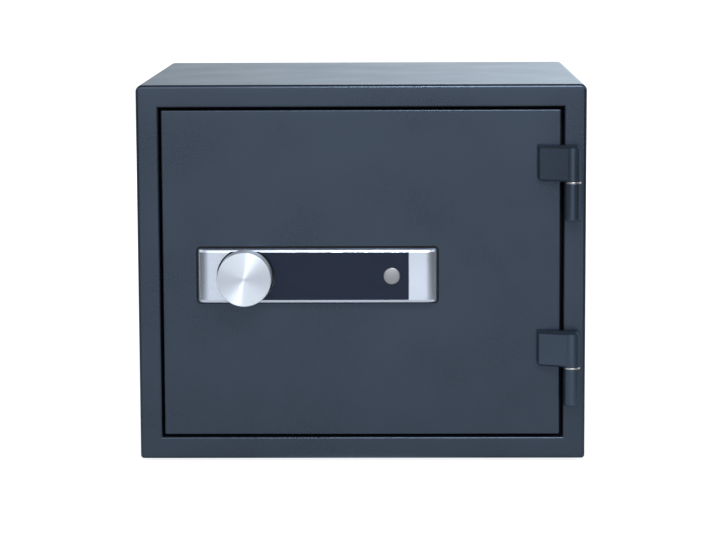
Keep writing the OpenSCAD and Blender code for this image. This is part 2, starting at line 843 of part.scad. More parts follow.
// A long bar along the leaf's slope, whose upper and lower front edges are cut away
module leaf_bevels(low, high, low_bevel)
    translate([leaf_x, front_y - leaf_edge_t, 0])
        rotate([0, 0, -leaf_slope])
            translate([-2 * leaf_w, 0, 0])
                rotate([90, 0, 90])
                    linear_extrude(4 * leaf_w)
                        polygon([
                            [-cut, low + low_bevel + cut], [low_bevel, low], [3 * knuckle_d, low],
                            [3 * knuckle_d, high], [leaf_bevel, high], [-cut, high - leaf_bevel - cut]
                        ]);

module upper_frame_knuckle() color([0.2, 0.24, 0.28]) frame_knuckle(hinge_z[1]);
module lower_frame_knuckle() color([0.2, 0.24, 0.28]) frame_knuckle(hinge_z[0]);
module upper_hinge_pin() color([0.75, 0.76, 0.78]) hinge_pin(hinge_z[1]);
module lower_hinge_pin() color([0.75, 0.76, 0.78]) hinge_pin(hinge_z[0]);
module upper_hinge_washer() color([0.85, 0.86, 0.88]) hinge_washer(hinge_z[1]);
module lower_hinge_washer() color([0.85, 0.86, 0.88]) hinge_washer(hinge_z[0]);
module upper_hinge_leaf() color([0.2, 0.24, 0.28]) hinge_leaf(hinge_z[1]);
module lower_hinge_leaf() color([0.2, 0.24, 0.28]) hinge_leaf(hinge_z[0]);

// ---- Door ----

// The slab's outside, drawn in by a distance at the front and sides
module slab_solid(inset) {
    x = [door_x[0] + inset, door_x[1] - inset];
    z = [door_z[0] + inset, door_z[1] - inset];
    r = max(slab_r - inset, 0);
    intersection() {
        block(x, z, [inset, slab_t + inset * cut]);
        raised([door_z[0] - cut, door_z[1] + cut]) round_rect(x, [inset, slab_t + cut + cut], [r, r, 0, 0]);
        run([door_x[0] - cut, door_x[1] + cut]) round_rect([inset, slab_t + cut + cut], z, [r, 0, 0, r]);
    }
}

module door_skin() color([0.25, 0.29, 0.34])
    difference() {
        slab_solid(0);
        slab_solid(sheet_t);
        lock_holes([-cut, cut]);
        for (x = screw_x, z = screw_z) rod(x, z, screw_r + seat_play, [-cut, cut]);
    }

module door_insulation() color([0.86, 0.84, 0.78])
    difference() {
        block([door_x[0] + sheet_t, door_x[1] - sheet_t], [door_z[0] + sheet_t, door_z[1] - sheet_t],
              [sheet_t, slab_t - sheet_t]);
        lock_holes([0, slab_t]);
        for (x = screw_x, z = screw_z)
            rod(x, z, 2 * screw_r + seat_play, [0, sheet_t + screw_head_t]);
    }

module door_back_plate() color([0.55, 0.57, 0.6])
    difference() {
        block([door_x[0] + sheet_t, door_x[1] - sheet_t], [door_z[0] + sheet_t, door_z[1] - sheet_t],
              [slab_t - sheet_t, slab_t]);
        lock_holes([0, slab_t + cut]);
    }

module door_seal() color([0.05, 0.05, 0.05])
    faced([slab_t, slab_t + seat_gap - slide_play])
        ring_rect([door_x[0] + 1, door_x[1] - 1], [door_z[0] + 1, door_z[1] - 1], seal_w);

module fire_strip() color([0.35, 0.3, 0.28])
    faced([slab_t, slab_t + seat_gap * 0.6])
        ring_rect([door_x[0] + 1 + seal_w, door_x[1] - 1 - seal_w],
                  [door_z[0] + 1 + seal_w, door_z[1] - 1 - seal_w], strip_w);

// The plug's outline from above: its free side leans in towards the back
module plug_plan(inset)
    polygon([
        [plug_x[0] + inset, slab_t],
        [plug_x[1] - inset, slab_t],
        [plug_x[1] - inset, plug_end],
        [plug_x[0] + plug_lead + inset, plug_end]
    ]);

module inner_cover() color([0.3, 0.33, 0.37])
    difference() {
        raised(plug_z) plug_plan(0);
        intersection() {
            raised([plug_z[0] + cover_t, plug_z[1] - cover_t]) plug_plan(cover_t);
            block([-side_x, side_x], plug_z, [0, plug_end - panel_t]);
        }
        for (z = bolt_z) {
            bar([-side_x, 0], z, bush_r, bolt_depth);
            bar([0, side_x], z, bolt_r + seat_play, bolt_depth);
        }
        block([box_x[0] + box_t, box_x[1] - box_t], [box_z[0] + box_t, box_z[1] - box_t],
              [box_d[1] - cut, plug_end + cut]);
        for (x = hook_x, z = [box_z[0] - hook_t - hook_gap, box_z[1] + hook_gap])
            block([x - hatch_travel - slide_play, x + hook_w + slide_play],
                  [z - slide_play, z + hook_t + slide_play], [box_d[1] - cut, plug_end + cut]);
        for (p = cover_screw_at)
            rod(p[0], p[1], cover_screw_r, [plug_end - panel_t - cut, plug_end + cut]);
    }

cover_screw_at = [
    for (x = [plug_x[0] + plug_lead + cover_screw_inset, 0, plug_x[1] - cover_screw_inset],
         z = [plug_z[0] + cover_screw_inset, plug_z[1] - cover_screw_inset]) [x, z]
];

// Domed screws into round posts that stand on the lock's mounting plate
module cover_screws() color([0.7, 0.71, 0.73])
    for (p = cover_screw_at) {
        difference() {
            union() {
                rod(p[0], p[1], cover_screw_r, [chassis_d[1], plug_end + cover_head_t / 4]);
                rod(p[0], p[1], cover_head_r, [plug_end, plug_end + cover_head_t]);
                rod(p[0], p[1], cover_post_r, [chassis_d[1], plug_end - panel_t]);
            }
            for (s = [[cross_l, cross_w / 2], [cross_w / 2, cross_l]])
                block([p[0] - s[0], p[0] + s[0]], [p[1] - s[1], p[1] + s[1]],
                      [plug_end + cover_head_t / 2, plug_end + cut]);
        }
    }

module plug_insulation() color([0.86, 0.84, 0.78])
    difference() {
        intersection() {
            raised([plug_z[0] + cover_t, plug_z[1] - cover_t]) plug_plan(cover_t);
            block([-side_x, side_x], plug_z, [slab_t, chassis_d[0]]);
        }
        lock_holes([0, plug_end]);
        for (z = bolt_z) bar([-side_x, bush_x[1]], z, bush_r, bolt_depth);
    }

module lock_chassis() color([0.6, 0.62, 0.65])
    difference() {
        intersection() {
            raised([plug_z[0] + cover_t, plug_z[1] - cover_t]) plug_plan(cover_t);
            block([-side_x, side_x], plug_z, chassis_d);
        }
        lock_holes([0, plug_end]);
        for (z = bolt_z) bar([-side_x, bush_x[1]], z, bush_r, bolt_depth);
    }

// Headed pins that the carrier's slots slide on
module carrier_guides() color([0.7, 0.71, 0.73])
    for (z = guide_z) {
        rod(guide_x, z, guide_r + guide_head, [chassis_d[1], carrier_d[0] - slide_play]);
        rod(guide_x, z, guide_r, [chassis_d[1], carrier_d[1] + slide_play + guide_head]);
        rod(guide_x, z, guide_r + guide_head,
            [carrier_d[1] + slide_play, carrier_d[1] + slide_play + guide_head]);
    }

module bolt_bushes() color([0.8, 0.65, 0.35])
    for (z = bolt_z)
        difference() {
            bar(bush_x, z, bush_r, bolt_depth);
            bar([bush_x[0] - cut, bush_x[1] + cut], z, bolt_r + run_play, bolt_depth);
        }

// Fixed dogs that hold the hinge side when the hinges are cut away
module hinge_side_dogs() color([0.75, 0.76, 0.78])
    for (z = bolt_z) {
        bar([dog_root, dog_tip], z, bolt_r, bolt_depth);
        block([dog_root, plug_x[1] - cover_t - 2], [z - bolt_r, z + bolt_r],
              [chassis_d[1], bolt_depth]);
    }

// ---- Lock drive ----

module gear_teeth_2d(teeth, phase) {
    r = tooth_m * teeth / 2;
    half = (PI * tooth_m / 2 - backlash) / 2;
    tip = half - tooth_top * tan(pressure_angle);
    root = half + tooth_root * tan(pressure_angle);
    circle(r - tooth_root);
    for (i = [0 : teeth - 1])
        rotate(phase + i * 360 / teeth)
            polygon([[r - tooth_root - tooth_sunk, -root], [r + tooth_top, -tip],
                     [r + tooth_top, tip], [r - tooth_root - tooth_sunk, root]]);
}

module drive_gear() color([0.8, 0.65, 0.35])
    difference() {
        faced(gear_d)
            translate([knob_x, lock_z]) gear_teeth_2d(gear_teeth, 90);
        rod(knob_x, lock_z, spindle_r, [0, plug_end]);
    }

module motor_pinion() color([0.85, 0.85, 0.8]) {
    faced(gear_d)
        translate([knob_x, pinion_z]) gear_teeth_2d(pinion_teeth, 90 + 180 / pinion_teeth);
    rod(knob_x, pinion_z, shaft_r, [gear_d[0], motor_d[0] + shaft_l]);
}

module lock_motor() color([0.5, 0.52, 0.55])
    difference() {
        union() {
            block(motor_x, [pinion_z - motor_half, pinion_z + motor_half], motor_d);
            for (x = motor_x + [motor_foot_r, -motor_foot_r])
                rod(x, pinion_z - motor_half + motor_foot_r, motor_foot_r, [chassis_d[1], motor_d[1]]);
        }
        rod(knob_x, pinion_z, shaft_r + run_play, [gear_d[0], motor_d[0] + shaft_l + slide_play]);
    }

module spindle_sleeve() color([0.7, 0.71, 0.73])
    difference() {
        union() {
            rod(knob_x, lock_z, sleeve_r, [0, chassis_d[1]]);
            rod(knob_x, lock_z, sleeve_r + sleeve_wall / 2, [chassis_d[1], gear_d[0] - slide_play]);
        }
        rod(knob_x, lock_z, spindle_r + run_play, [-cut, plug_end]);
    }

module spindle() color([0.7, 0.71, 0.73])
    rod(knob_x, lock_z, spindle_r, [-spindle_front, gear_d[1] + 2]);

module spindle_clip() color([0.3, 0.3, 0.32])
    difference() {
        rod(knob_x, lock_z, spindle_r + 2.5, [gear_d[1], gear_d[1] + 1]);
        rod(knob_x, lock_z, spindle_r, [0, plug_end]);
        block([knob_x - 1, knob_x + 1], [lock_z - spindle_r - 5, lock_z], [gear_d[1] - 1, gear_d[1] + 2]);
    }

// An upright bar with a rack, two slotted arms for its guides and a block for each bolt
module bolt_carrier() color([0.6, 0.62, 0.65]) {
    slot_r = guide_r + slide_play;
    difference() {
        union() {
            block(carrier_x, [bolt_z[0] - 6, bolt_z[1] + 6], carrier_d);
            block([carrier_x[0], rack_x[1]], [rack_z + tooth_root, rack_z + tooth_root + rack_h],
                  carrier_d);
            faced(carrier_d) rack_2d();
            for (z = guide_z)
                block([carrier_x[0], arm_x], [z - arm_h / 2, z + arm_h / 2], carrier_d);
            for (z = bolt_z)
                block(carrier_x, [z - block_h / 2, z + block_h / 2],
                      [chassis_d[1] + slide_play, bolt_depth + bolt_r + 0.5]);
        }
        for (z = guide_z) {
            block([guide_x, guide_x + bolt_throw], [z - slot_r, z + slot_r], carrier_d + [-1, 1]);
            for (x = [guide_x, guide_x + bolt_throw]) rod(x, z, slot_r, carrier_d + [-1, 1]);
        }
        for (z = bolt_z) bar([carrier_x[0] - 1, carrier_x[0] + spigot_l], z, spigot_r, bolt_depth);
    }
}

// Rack teeth point down; a gap is over the gear's top tooth
module rack_2d() {
    pitch = PI * tooth_m;
    half = (pitch / 2 - backlash) / 2;
    first = ceil((rack_x[0] + rack_end - knob_x) / pitch - 0.5);
    last = floor((rack_x[1] - rack_end - knob_x) / pitch - 0.5);
    for (i = [first : last])
        translate([knob_x + (i + 0.5) * pitch, rack_z])
            polygon([[-half - tooth_root * tan(pressure_angle), tooth_root + tooth_sunk],
                     [-half + tooth_top * tan(pressure_angle), -tooth_top],
                     [half - tooth_top * tan(pressure_angle), -tooth_top],
                     [half + tooth_root * tan(pressure_angle), tooth_root + tooth_sunk]]);
}

module locking_bolts() color([0.85, 0.86, 0.88])
    for (z = bolt_z) {
        translate([0, front_y + bolt_depth, z])
            rotate([0, 90, 0])
                rotate_extrude()
                    polygon([[0, bolt_tip], [bolt_r - bolt_nose, bolt_tip], [bolt_r, bolt_tip + bolt_nose],
                             [bolt_r, carrier_x[0]], [spigot_r, carrier_x[0]],
                             [spigot_r, carrier_x[0] + spigot_l], [0, carrier_x[0] + spigot_l]]);
    }

// ---- Lock case ----

module bezel_gasket() color([0.05, 0.05, 0.05])
    faced([-gasket_t, 0])
        difference() {
            round_rect([bezel_x[0] - gasket_lip, bezel_x[1] + gasket_lip],
                       [bezel_z[0] - gasket_lip, bezel_z[1] + gasket_lip],
                       [1, 1, 1, 1] * (bezel_corner_r + gasket_lip));
            translate([bezel_x[0] + gasket_band, bezel_z[0] + gasket_band])
                square([bezel_w - 2 * gasket_band, bezel_h - 2 * gasket_band]);
        }

// The lock case from above: flat in front, curved back to the door at both ends
module bezel_plan()
    round_rect(bezel_x, [-bezel_front, -gasket_t], [bezel_end_r, bezel_end_r, 0, 0]);

module moat_2d(r)
    intersection() {
        translate([knob_x, lock_z]) circle(r);
        translate([knob_x - r, lock_z - rim_z]) square([2 * r, 2 * rim_z]);
    }

module window_2d(play)
    difference() {
        translate([knob_x, lock_z - window_h / 2 + play])
            square([window_x - knob_x - play, window_h - 2 * play]);
        translate([knob_x, lock_z]) circle(moat_d / 2 + (play > 0 ? play : -eps));
    }

module bezel() color([0.8, 0.83, 0.87])
    difference() {
        intersection() {
            raised(bezel_z) bezel_plan();
            run(bezel_x)
                polygon([[-gasket_t, bezel_z[0]], [bevel_t - bezel_front, bezel_z[0]],
                         [-bezel_front, bezel_z[0] + bevel_w], [-bezel_front, bezel_z[1] - bevel_w],
                         [bevel_t - bezel_front, bezel_z[1]], [-gasket_t, bezel_z[1]]]);
            faced([-bezel_front, 0])
                round_rect(bezel_x, bezel_z, [1, 1, 1, 1] * bezel_corner_r);
        }
        faced([-bezel_front - cut, moat_depth - bezel_front]) moat_2d(moat_d / 2);
        faced([-bezel_front - cut, -window_back]) window_2d(0);
        block(bay_x, [lock_z - bay_h / 2, lock_z + bay_h / 2], [-bezel_front - cut, 0]);
        rod(knob_x, lock_z, sleeve_r, [-bezel_front - cut, 0]);
        for (x = screw_x, z = screw_z) rod(x, z, screw_r, [-bezel_front + screw_bite, 0]);
    }

module bezel_screws() color([0.7, 0.71, 0.73])
    for (x = screw_x, z = screw_z) {
        rod(x, z, screw_r, [-bezel_front + screw_bite, sheet_t + screw_head_t / 2]);
        rod(x, z, 2 * screw_r, [sheet_t, sheet_t + screw_head_t]);
    }

module touch_window() color([0.1, 0.11, 0.13])
    difference() {
        faced([-window_front, -window_back]) window_2d(0.15);
        rod(badge_x, lock_z, barrel_r + run_play, [-bezel_front - cut, 0]);
    }

module knob_collar() color([0.04, 0.04, 0.04])
    difference() {
        faced([-collar_front, moat_depth - bezel_front]) moat_2d(moat_d / 2);
        rod(knob_x, lock_z, sleeve_r, [-bezel_front - cut, 0]);
    }

module touch_board() color([0.1, 0.35, 0.2])
    difference() {
        block([bay_x[0] + 1, bay_x[1] - 1], [lock_z - bay_h / 2 + 0.5, lock_z + bay_h / 2 - 0.5],
              [-window_back, -window_back + board_t]);
        rod(badge_x, lock_z, barrel_r + 0.5, [-bezel_front - cut, 0]);
    }

module knob_cap() color([0.85, 0.88, 0.92])
    difference() {
        translate([knob_x, front_y, lock_z])
            rotate([90, 0, 0])
                rotate_extrude()
                    polygon([[0, knob_back], [knob_r - 0.3, knob_back], [knob_r, knob_back + 0.3],
                             [knob_r, knob_proud - cap_bevel], [knob_r - cap_bevel, knob_proud],
                             [0, knob_proud]]);
        rod(knob_x, lock_z, knob_r - cap_skirt_t, [cap_face_t - knob_proud, 0]);
    }

module knob_core() color([0.08, 0.08, 0.08])
    difference() {
        rod(knob_x, lock_z, knob_r - cap_skirt_t, [cap_face_t - knob_proud, -knob_back - 0.5]);
        rod(knob_x, lock_z, spindle_r, [-spindle_front, 0]);
    }

// ---- Badge and override lock ----

// The badge's stub sits in the window's hole; its face covers the override lock
module badge_cap() color([0.6, 0.61, 0.64])
    translate([badge_x, front_y, lock_z])
        rotate([90, 0, 0])
            rotate_extrude()
                polygon([[0, barrel_front + slide_play], [barrel_r - stub_play, barrel_front + slide_play],
                         [barrel_r - stub_play, window_front + slide_play], [badge_r, window_front + slide_play],
                         [badge_r, window_front + badge_t - badge_bevel[1]],
                         [badge_r - badge_bevel[0], window_front + badge_t],
                         [0, window_front + badge_t]]);

module override_barrel() color([0.75, 0.76, 0.78])
    difference() {
        rod(badge_x, lock_z, barrel_r, [-barrel_front, barrel_end]);
        rod(badge_x, lock_z, core_r + run_play, [-barrel_front - cut, barrel_end + cut]);
    }

module override_plug() color([0.8, 0.65, 0.35])
    difference() {
        rod(badge_x, lock_z, core_r, [-barrel_front + plug_sunk, barrel_end + plug_tail]);
        block([badge_x - keyway_w / 2, badge_x + keyway_w / 2], [lock_z - keyway_h / 2, lock_z + keyway_h / 2],
              [-barrel_front - cut, keyway_end]);
    }

module override_cam() color([0.6, 0.62, 0.65])
    difference() {
        faced([barrel_end + slide_play, barrel_end + slide_play + cam_t])
            union() {
                translate([badge_x, lock_z]) circle(core_r + cam_rim);
                translate([badge_x - cam_w / 2, lock_z]) square([cam_w, cam_l]);
            }
        rod(badge_x, lock_z, core_r, [0, plug_end]);
    }

// ---- Electrics ----

module battery_box() color([0.1, 0.1, 0.1])
    difference() {
        block(box_x, box_z, box_d);
        block([box_x[0] + box_t, box_x[1] - box_t], [box_z[0] + box_t, box_z[1] - box_t],
              [box_d[0] + box_t, box_d[1] + cut]);
        block([box_x[0] + box_window_inset, box_x[1] - box_window_inset],
              [box_z[0] + box_window_inset, box_z[1] - box_window_inset], [box_d[0] - cut, box_d[1]]);
    }

module battery_cells() color([0.2, 0.25, 0.3])
    for (i = [0 : cell_count - 1]) {
        x = box_x[0] + box_t + cell_gap / 2 + (i + 0.5) * (cell_d + cell_gap);
        depth = box_d[0] + box_t + cell_d / 2;
        low = box_z[0] + box_t + cell_room / 2;
        post(x, [low, low + cell_l - cell_cap_t], cell_d / 2, depth);
        post(x, [low + cell_l - 2 * cell_cap_t, low + cell_l], cell_cap_r, depth);
    }

// A flat hatch whose hooks run in slots of the rear panel
module battery_hatch() color([0.1, 0.1, 0.1]) {
    face = plug_end + slide_play;
    block([box_x[0] - hatch_edge, box_x[1] + hatch_edge],
          [box_z[0] - hatch_edge, box_z[1] + hatch_edge], [face, face + hatch_t]);
    for (i = grip_slots)
        block([box_x[0] + grip_pitch * i, box_x[0] + grip_pitch * (i + 0.5)],
              [box_z[0] + grip_margin, box_z[1] - grip_margin], [face, face + hatch_t + grip_h]);
    foot_d = [box_d[1] - slide_play - hook_foot_t, box_d[1] - slide_play];
    low = box_z[0] - hook_gap;
    high = box_z[1] + hook_gap;
    for (x = hook_x) {
        block([x, x + hook_w], [low - hook_t, low], [foot_d[0], face + hatch_t / 2]);
        block([x, x + hook_w], [low - hook_t - hook_lip, low], foot_d);
        block([x, x + hook_w], [high, high + hook_t], [foot_d[0], face + hatch_t / 2]);
        block([x, x + hook_w], [high, high + hook_t + hook_lip], foot_d);
    }
}

module control_board() color([0.1, 0.35, 0.2]) {
    block(board_x, board_z, board_d);
    hole = board_post_r + 1.5;
    middle = [(board_x[0] + board_x[1]) / 2, (board_z[0] + board_z[1]) / 2];
    for (x = board_x + [hole, -hole], z = board_z + [hole, -hole])
        rod(x, z, board_post_r, [chassis_d[1], board_d[0]]);
    block([middle[0] - chip_w / 2, middle[0] + chip_w / 2], [middle[1] - chip_h / 2, middle[1] + chip_h / 2],
          board_d + [0, chip_t]);
}

module wiring_harness() color([0.12, 0.12, 0.12]) {
    cable(touch_lead);
    cable(battery_lead);
    cable(motor_lead);
}

outer_casing();
back_panel();
body_insulation();
floor_insulation();
jamb_frame();
inner_liner();
bolt_keepers();
dog_keepers();
shelf();
shelf_clips();
floor_mat();
rubber_feet();
anchor_sleeves();
upper_frame_knuckle();
lower_frame_knuckle();
upper_hinge_pin();
lower_hinge_pin();
upper_hinge_washer();
lower_hinge_washer();
door_skin();
door_insulation();
door_back_plate();
upper_hinge_leaf();
lower_hinge_leaf();
door_seal();
fire_strip();
inner_cover();
cover_screws();
plug_insulation();
lock_chassis();
carrier_guides();
bolt_bushes();
hinge_side_dogs();
lock_motor();
battery_box();
battery_cells();
control_board();
wiring_harness();
spindle_sleeve();
bezel_gasket();
bezel();
bezel_screws();
touch_window();
knob_collar();
touch_board();
override_barrel();
knob_cap();
knob_core();
spindle();
drive_gear();
spindle_clip();
bolt_carrier();
locking_bolts();
motor_pinion();
badge_cap();
override_plug();
override_cam();
battery_hatch();
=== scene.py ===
# %% [markdown]
# # A fire-resistant safe, from its frame to its portrait
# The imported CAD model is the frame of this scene. It says where every sheet, bolt and screw is.
# This lesson dresses it, cell by cell: first the light and the camera, then the finishes,
# then each piece, made as a surface from arrays of numbers.

# %% Load the frame
import json
import math

import bmesh
import bpy
import numpy as np
from mathutils import Matrix, Vector


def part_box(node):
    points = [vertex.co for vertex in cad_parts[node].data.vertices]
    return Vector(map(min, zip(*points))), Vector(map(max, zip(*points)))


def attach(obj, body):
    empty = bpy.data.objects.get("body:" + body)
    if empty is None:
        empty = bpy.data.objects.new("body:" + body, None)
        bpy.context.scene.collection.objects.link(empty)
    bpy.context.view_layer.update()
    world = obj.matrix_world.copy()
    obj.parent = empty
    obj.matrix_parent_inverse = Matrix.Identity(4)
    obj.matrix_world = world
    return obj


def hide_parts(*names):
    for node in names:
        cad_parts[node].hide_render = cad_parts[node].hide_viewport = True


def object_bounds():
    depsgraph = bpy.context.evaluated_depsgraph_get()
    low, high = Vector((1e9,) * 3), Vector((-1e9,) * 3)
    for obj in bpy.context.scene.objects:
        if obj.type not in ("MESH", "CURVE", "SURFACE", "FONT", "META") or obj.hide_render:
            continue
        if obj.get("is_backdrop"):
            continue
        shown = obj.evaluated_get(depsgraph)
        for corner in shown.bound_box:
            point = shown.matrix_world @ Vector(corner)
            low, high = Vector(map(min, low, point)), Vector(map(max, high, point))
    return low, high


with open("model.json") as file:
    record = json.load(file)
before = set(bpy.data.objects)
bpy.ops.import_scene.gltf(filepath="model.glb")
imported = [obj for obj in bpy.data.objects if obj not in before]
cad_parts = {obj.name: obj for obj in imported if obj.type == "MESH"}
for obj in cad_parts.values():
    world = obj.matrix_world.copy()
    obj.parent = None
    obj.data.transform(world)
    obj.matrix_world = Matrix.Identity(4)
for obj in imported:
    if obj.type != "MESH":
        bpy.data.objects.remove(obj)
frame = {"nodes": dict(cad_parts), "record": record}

cad_box = [list(corner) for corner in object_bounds()]
print("the CAD box, in metres:", cad_box)

# %% [markdown]
# ## Millimetres, bodies and finishes
# A safe is drawn in millimetres, and Blender counts in metres, so one factor turns one into the
# other. The record says which body each node rides on and which finish it takes. Reading both
# from it keeps the scene true to the model, where typing them again would invite mistakes.

# %% What the record says
MM = 0.001
behaviour = frame["record"]["behaviour"]
body_with = {part: body for body, parts in behaviour["bodies"].items() for part in parts}
slot_with = {part["node"]: part["material_slot"] for part in frame["record"]["subparts"]}
tone_of = {entry["slot"]: tuple(entry["base_color"]) for entry in frame["record"]["materials"]}


def span(node):
    """The lowest and the highest corner of a CAD node, in millimetres."""
    low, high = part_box(node)
    return np.array(low) / MM, np.array(high) / MM


def middle(node, axis):
    """The middle of a node along X, Y or Z."""
    low, high = span(node)
    return (low + high)["XYZ".index(axis)] / 2


def half(node, axis):
    """Half of a node's size along X, Y or Z, which is a round part's radius."""
    low, high = span(node)
    return (high - low)["XYZ".index(axis)] / 2


case_low, case_high = span("outer_casing")
front_y = case_low[1]
print(len(body_with), "nodes; the casing is", np.round(case_high - case_low, 2), "mm")

# %% [markdown]
# ## The camera
# The portrait was taken from a little above the roof, far enough away for the sides to stay
# almost upright. Place, pitch and lens were solved from the casing's corners, the door and the
# knob. No shift is used, so every other view keeps the safe in the middle of the picture.

# %% Camera
CAMERA_AT = (0.03737, -2.5555, 0.5039)
CAMERA_PITCH = 0.1348
CAMERA_YAW = 0.0170
CAMERA_ROLL = -0.0044
LENS = 131.94

camera = bpy.data.objects.new("portrait_camera", bpy.data.cameras.new("portrait_camera"))
bpy.context.scene.collection.objects.link(camera)
facing = Matrix.Rotation(CAMERA_YAW, 4, "Z") @ Matrix.Rotation(math.pi / 2 - CAMERA_PITCH, 4, "X")
camera.matrix_world = Matrix.Translation(CAMERA_AT) @ facing @ Matrix.Rotation(CAMERA_ROLL, 4, "Z")
camera.data.sensor_width = 36
camera.data.lens = LENS
camera.data.clip_start = 0.05
camera.data.clip_end = 120
bpy.context.scene.camera = camera
bpy.context.scene.view_settings.view_transform = "Standard"
print("the camera stands", round(-CAMERA_AT[1], 2), "m in front of the safe's middle")

# %% [markdown]
# ## Shader nodes in one line each
# Every finish here is a small graph of shader nodes. Placing and wiring them by hand takes four
# lines a node, so one helper makes a node, sets its properties and fills or links its sockets.

# %% Helpers for shader nodes
def add(tree, kind, sockets=None, **settings):
    """A new shader node. A socket's value may be a number, a colour or another node's output."""
    made = tree.nodes.new("ShaderNode" + kind)
    for key, value in settings.items():
        setattr(made, key, value)
    for key, value in (sockets or {}).items():
        if isinstance(value, bpy.types.NodeSocket):
            tree.links.new(value, made.inputs[key])
        else:
            made.inputs[key].default_value = value
    return made


def maths(tree, operation, first, second=0.0):
    """One sum of two numbers or outputs."""
    return add(tree, "Math", {0: first, 1: second}, operation=operation).outputs[0]


def ramp(tree, value, start, end, low=0.0, high=1.0):
    """Low before start and high after end, with an even slope between them."""
    sockets = {"Value": value, "From Min": start, "From Max": end, "To Min": low, "To Max": high}
    return add(tree, "MapRange", sockets, clamp=True).outputs["Result"]


def product(tree, first, *others):
    """Several numbers or outputs, multiplied in turn."""
    for other in others:
        first = maths(tree, "MULTIPLY", first, other)
    return first


def most(tree, first, *others):
    """The greatest of several numbers or outputs."""
    for other in others:
        first = maths(tree, "MAXIMUM", first, other)
    return first


def blend(tree, share, first, second):
    """One colour over another, by a share from 0 to 1."""
    made = add(tree, "Mix", {"Factor": share}, data_type="RGBA")
    for socket, value in ((made.inputs[6], first), (made.inputs[7], second)):
        if isinstance(value, bpy.types.NodeSocket):
            tree.links.new(value, socket)
        else:
            socket.default_value = value
    return made.outputs[2]


print("six helpers: add, maths, ramp, product, most and blend")

# %% [markdown]
# ## A plain studio
# The safe stands on a pale floor before a white backdrop. Two soft boxes hang in front and draw
# the bright lines on its rims, and large fills light the paint from every side. A painted
# box looks flat under even light, so the studio goes dark at each side of its bright front wall:
# the dark strips draw the lines along the casing's rounded edges. Farther round, the walls and
# the floor are pale again, and show in the casing's sides, its roof and its back. The camera
# sees white, and the floor keeps its shadow.

# %% The studio's levels
WHITE = (1, 1, 1, 1)
FRONT_LEVEL, SIDE_LEVEL, ROOF_LEVEL = 2.28, 0.05, 0.05
LEFT_SHARE = 0.82
BAND_LEVEL = 1.30
BACKDROP_LEFT, BACKDROP_RIGHT = 0.66, 1.75
BESIDE_LOW, BESIDE_HIGH = 0.26, 0.90
# Where each card fades, as a share of a direction's length along X, Y or Z.
WALL_LEAN_X, WALL_RIGHT_X, WALL_LEFT_X = (-0.20, 0.15), (0.10, 0.42), (-0.25, -0.65)
WALL_TOP_Z, WALL_BACK_Y = (0.25, 0.70), (0.30, -0.10)
BAND_FOOT_Z, BAND_HEAD_Z, BAND_BACK_Y, BAND_END_X = (0.50, 0.64), (0.88, 0.78), (0.0, -0.3), (0.30, 0.60)
BESIDE_BACK_Y, BESIDE_FOOT_Z, BESIDE_RISE_Z = (-0.20, 0.05), (0.14, 0.28), (0.12, 0.35)
BESIDE_START_X, BESIDE_HEAD_Z = (0.35, 0.55), (0.85, 0.60)
DROP_START_Y, DROP_HEAD_Z, DROP_END_X, DROP_SHADE_X = (0.55, 0.85), (0.75, 0.45), (0.50, 0.30), (-0.12, 0.12)
print("the studio's levels: front", FRONT_LEVEL, "sides", SIDE_LEVEL, "ceiling", ROOF_LEVEL)

# %% World
world = bpy.data.worlds.new("studio")
bpy.context.scene.world = world
world.use_nodes = True
air = world.node_tree
air.nodes.clear()
towards = add(air, "SeparateXYZ", {0: add(air, "TexCoord").outputs["Generated"]}).outputs
over_x, over_y, over_z = (towards[axis] for axis in "XYZ")
off_middle = maths(air, "ABSOLUTE", over_x)
right_fall = ramp(air, over_x, *WALL_RIGHT_X, FRONT_LEVEL, SIDE_LEVEL)
left_fall = ramp(air, over_x, *WALL_LEFT_X, FRONT_LEVEL, SIDE_LEVEL)
studio_wall = product(
    air, maths(air, "MINIMUM", left_fall, right_fall), ramp(air, over_x, *WALL_LEAN_X, LEFT_SHARE, 1),
    ramp(air, over_z, *WALL_TOP_Z, 1, ROOF_LEVEL / FRONT_LEVEL),
    ramp(air, over_y, *WALL_BACK_Y, SIDE_LEVEL / FRONT_LEVEL, 1))
high_band = product(
    air, ramp(air, over_z, *BAND_FOOT_Z), ramp(air, over_z, *BAND_HEAD_Z),
    ramp(air, over_y, *BAND_BACK_Y), ramp(air, off_middle, *BAND_END_X, BAND_LEVEL, 0))
side_walls = product(
    air, most(air, ramp(air, over_y, *BESIDE_BACK_Y), ramp(air, over_z, *BESIDE_FOOT_Z)),
    ramp(air, off_middle, *BESIDE_START_X), ramp(air, over_z, *BESIDE_RISE_Z, BESIDE_LOW, BESIDE_HIGH),
    ramp(air, over_z, *BESIDE_HEAD_Z))
backdrop = product(air, ramp(air, over_y, *DROP_START_Y), ramp(air, over_z, *DROP_HEAD_Z),
                   ramp(air, off_middle, *DROP_END_X))
ray = add(air, "LightPath").outputs
clear = most(air, ray["Is Camera Ray"], ray["Is Transmission Ray"])
shaded = ramp(air, over_x, *DROP_SHADE_X, BACKDROP_LEFT, BACKDROP_RIGHT)
mirrored = product(air, ray["Is Glossy Ray"], backdrop, shaded)
plain = product(air, backdrop, maths(air, "SUBTRACT", 1, ray["Is Glossy Ray"]))
around = product(air, most(air, studio_wall, high_band, side_walls), maths(air, "SUBTRACT", 1, clear))
level = most(air, around, clear, mirrored, plain)
sky = add(air, "Background", {"Color": WHITE, "Strength": level})
add(air, "OutputWorld", {"Surface": sky.outputs[0]})
print("the world has", len(air.nodes), "nodes")

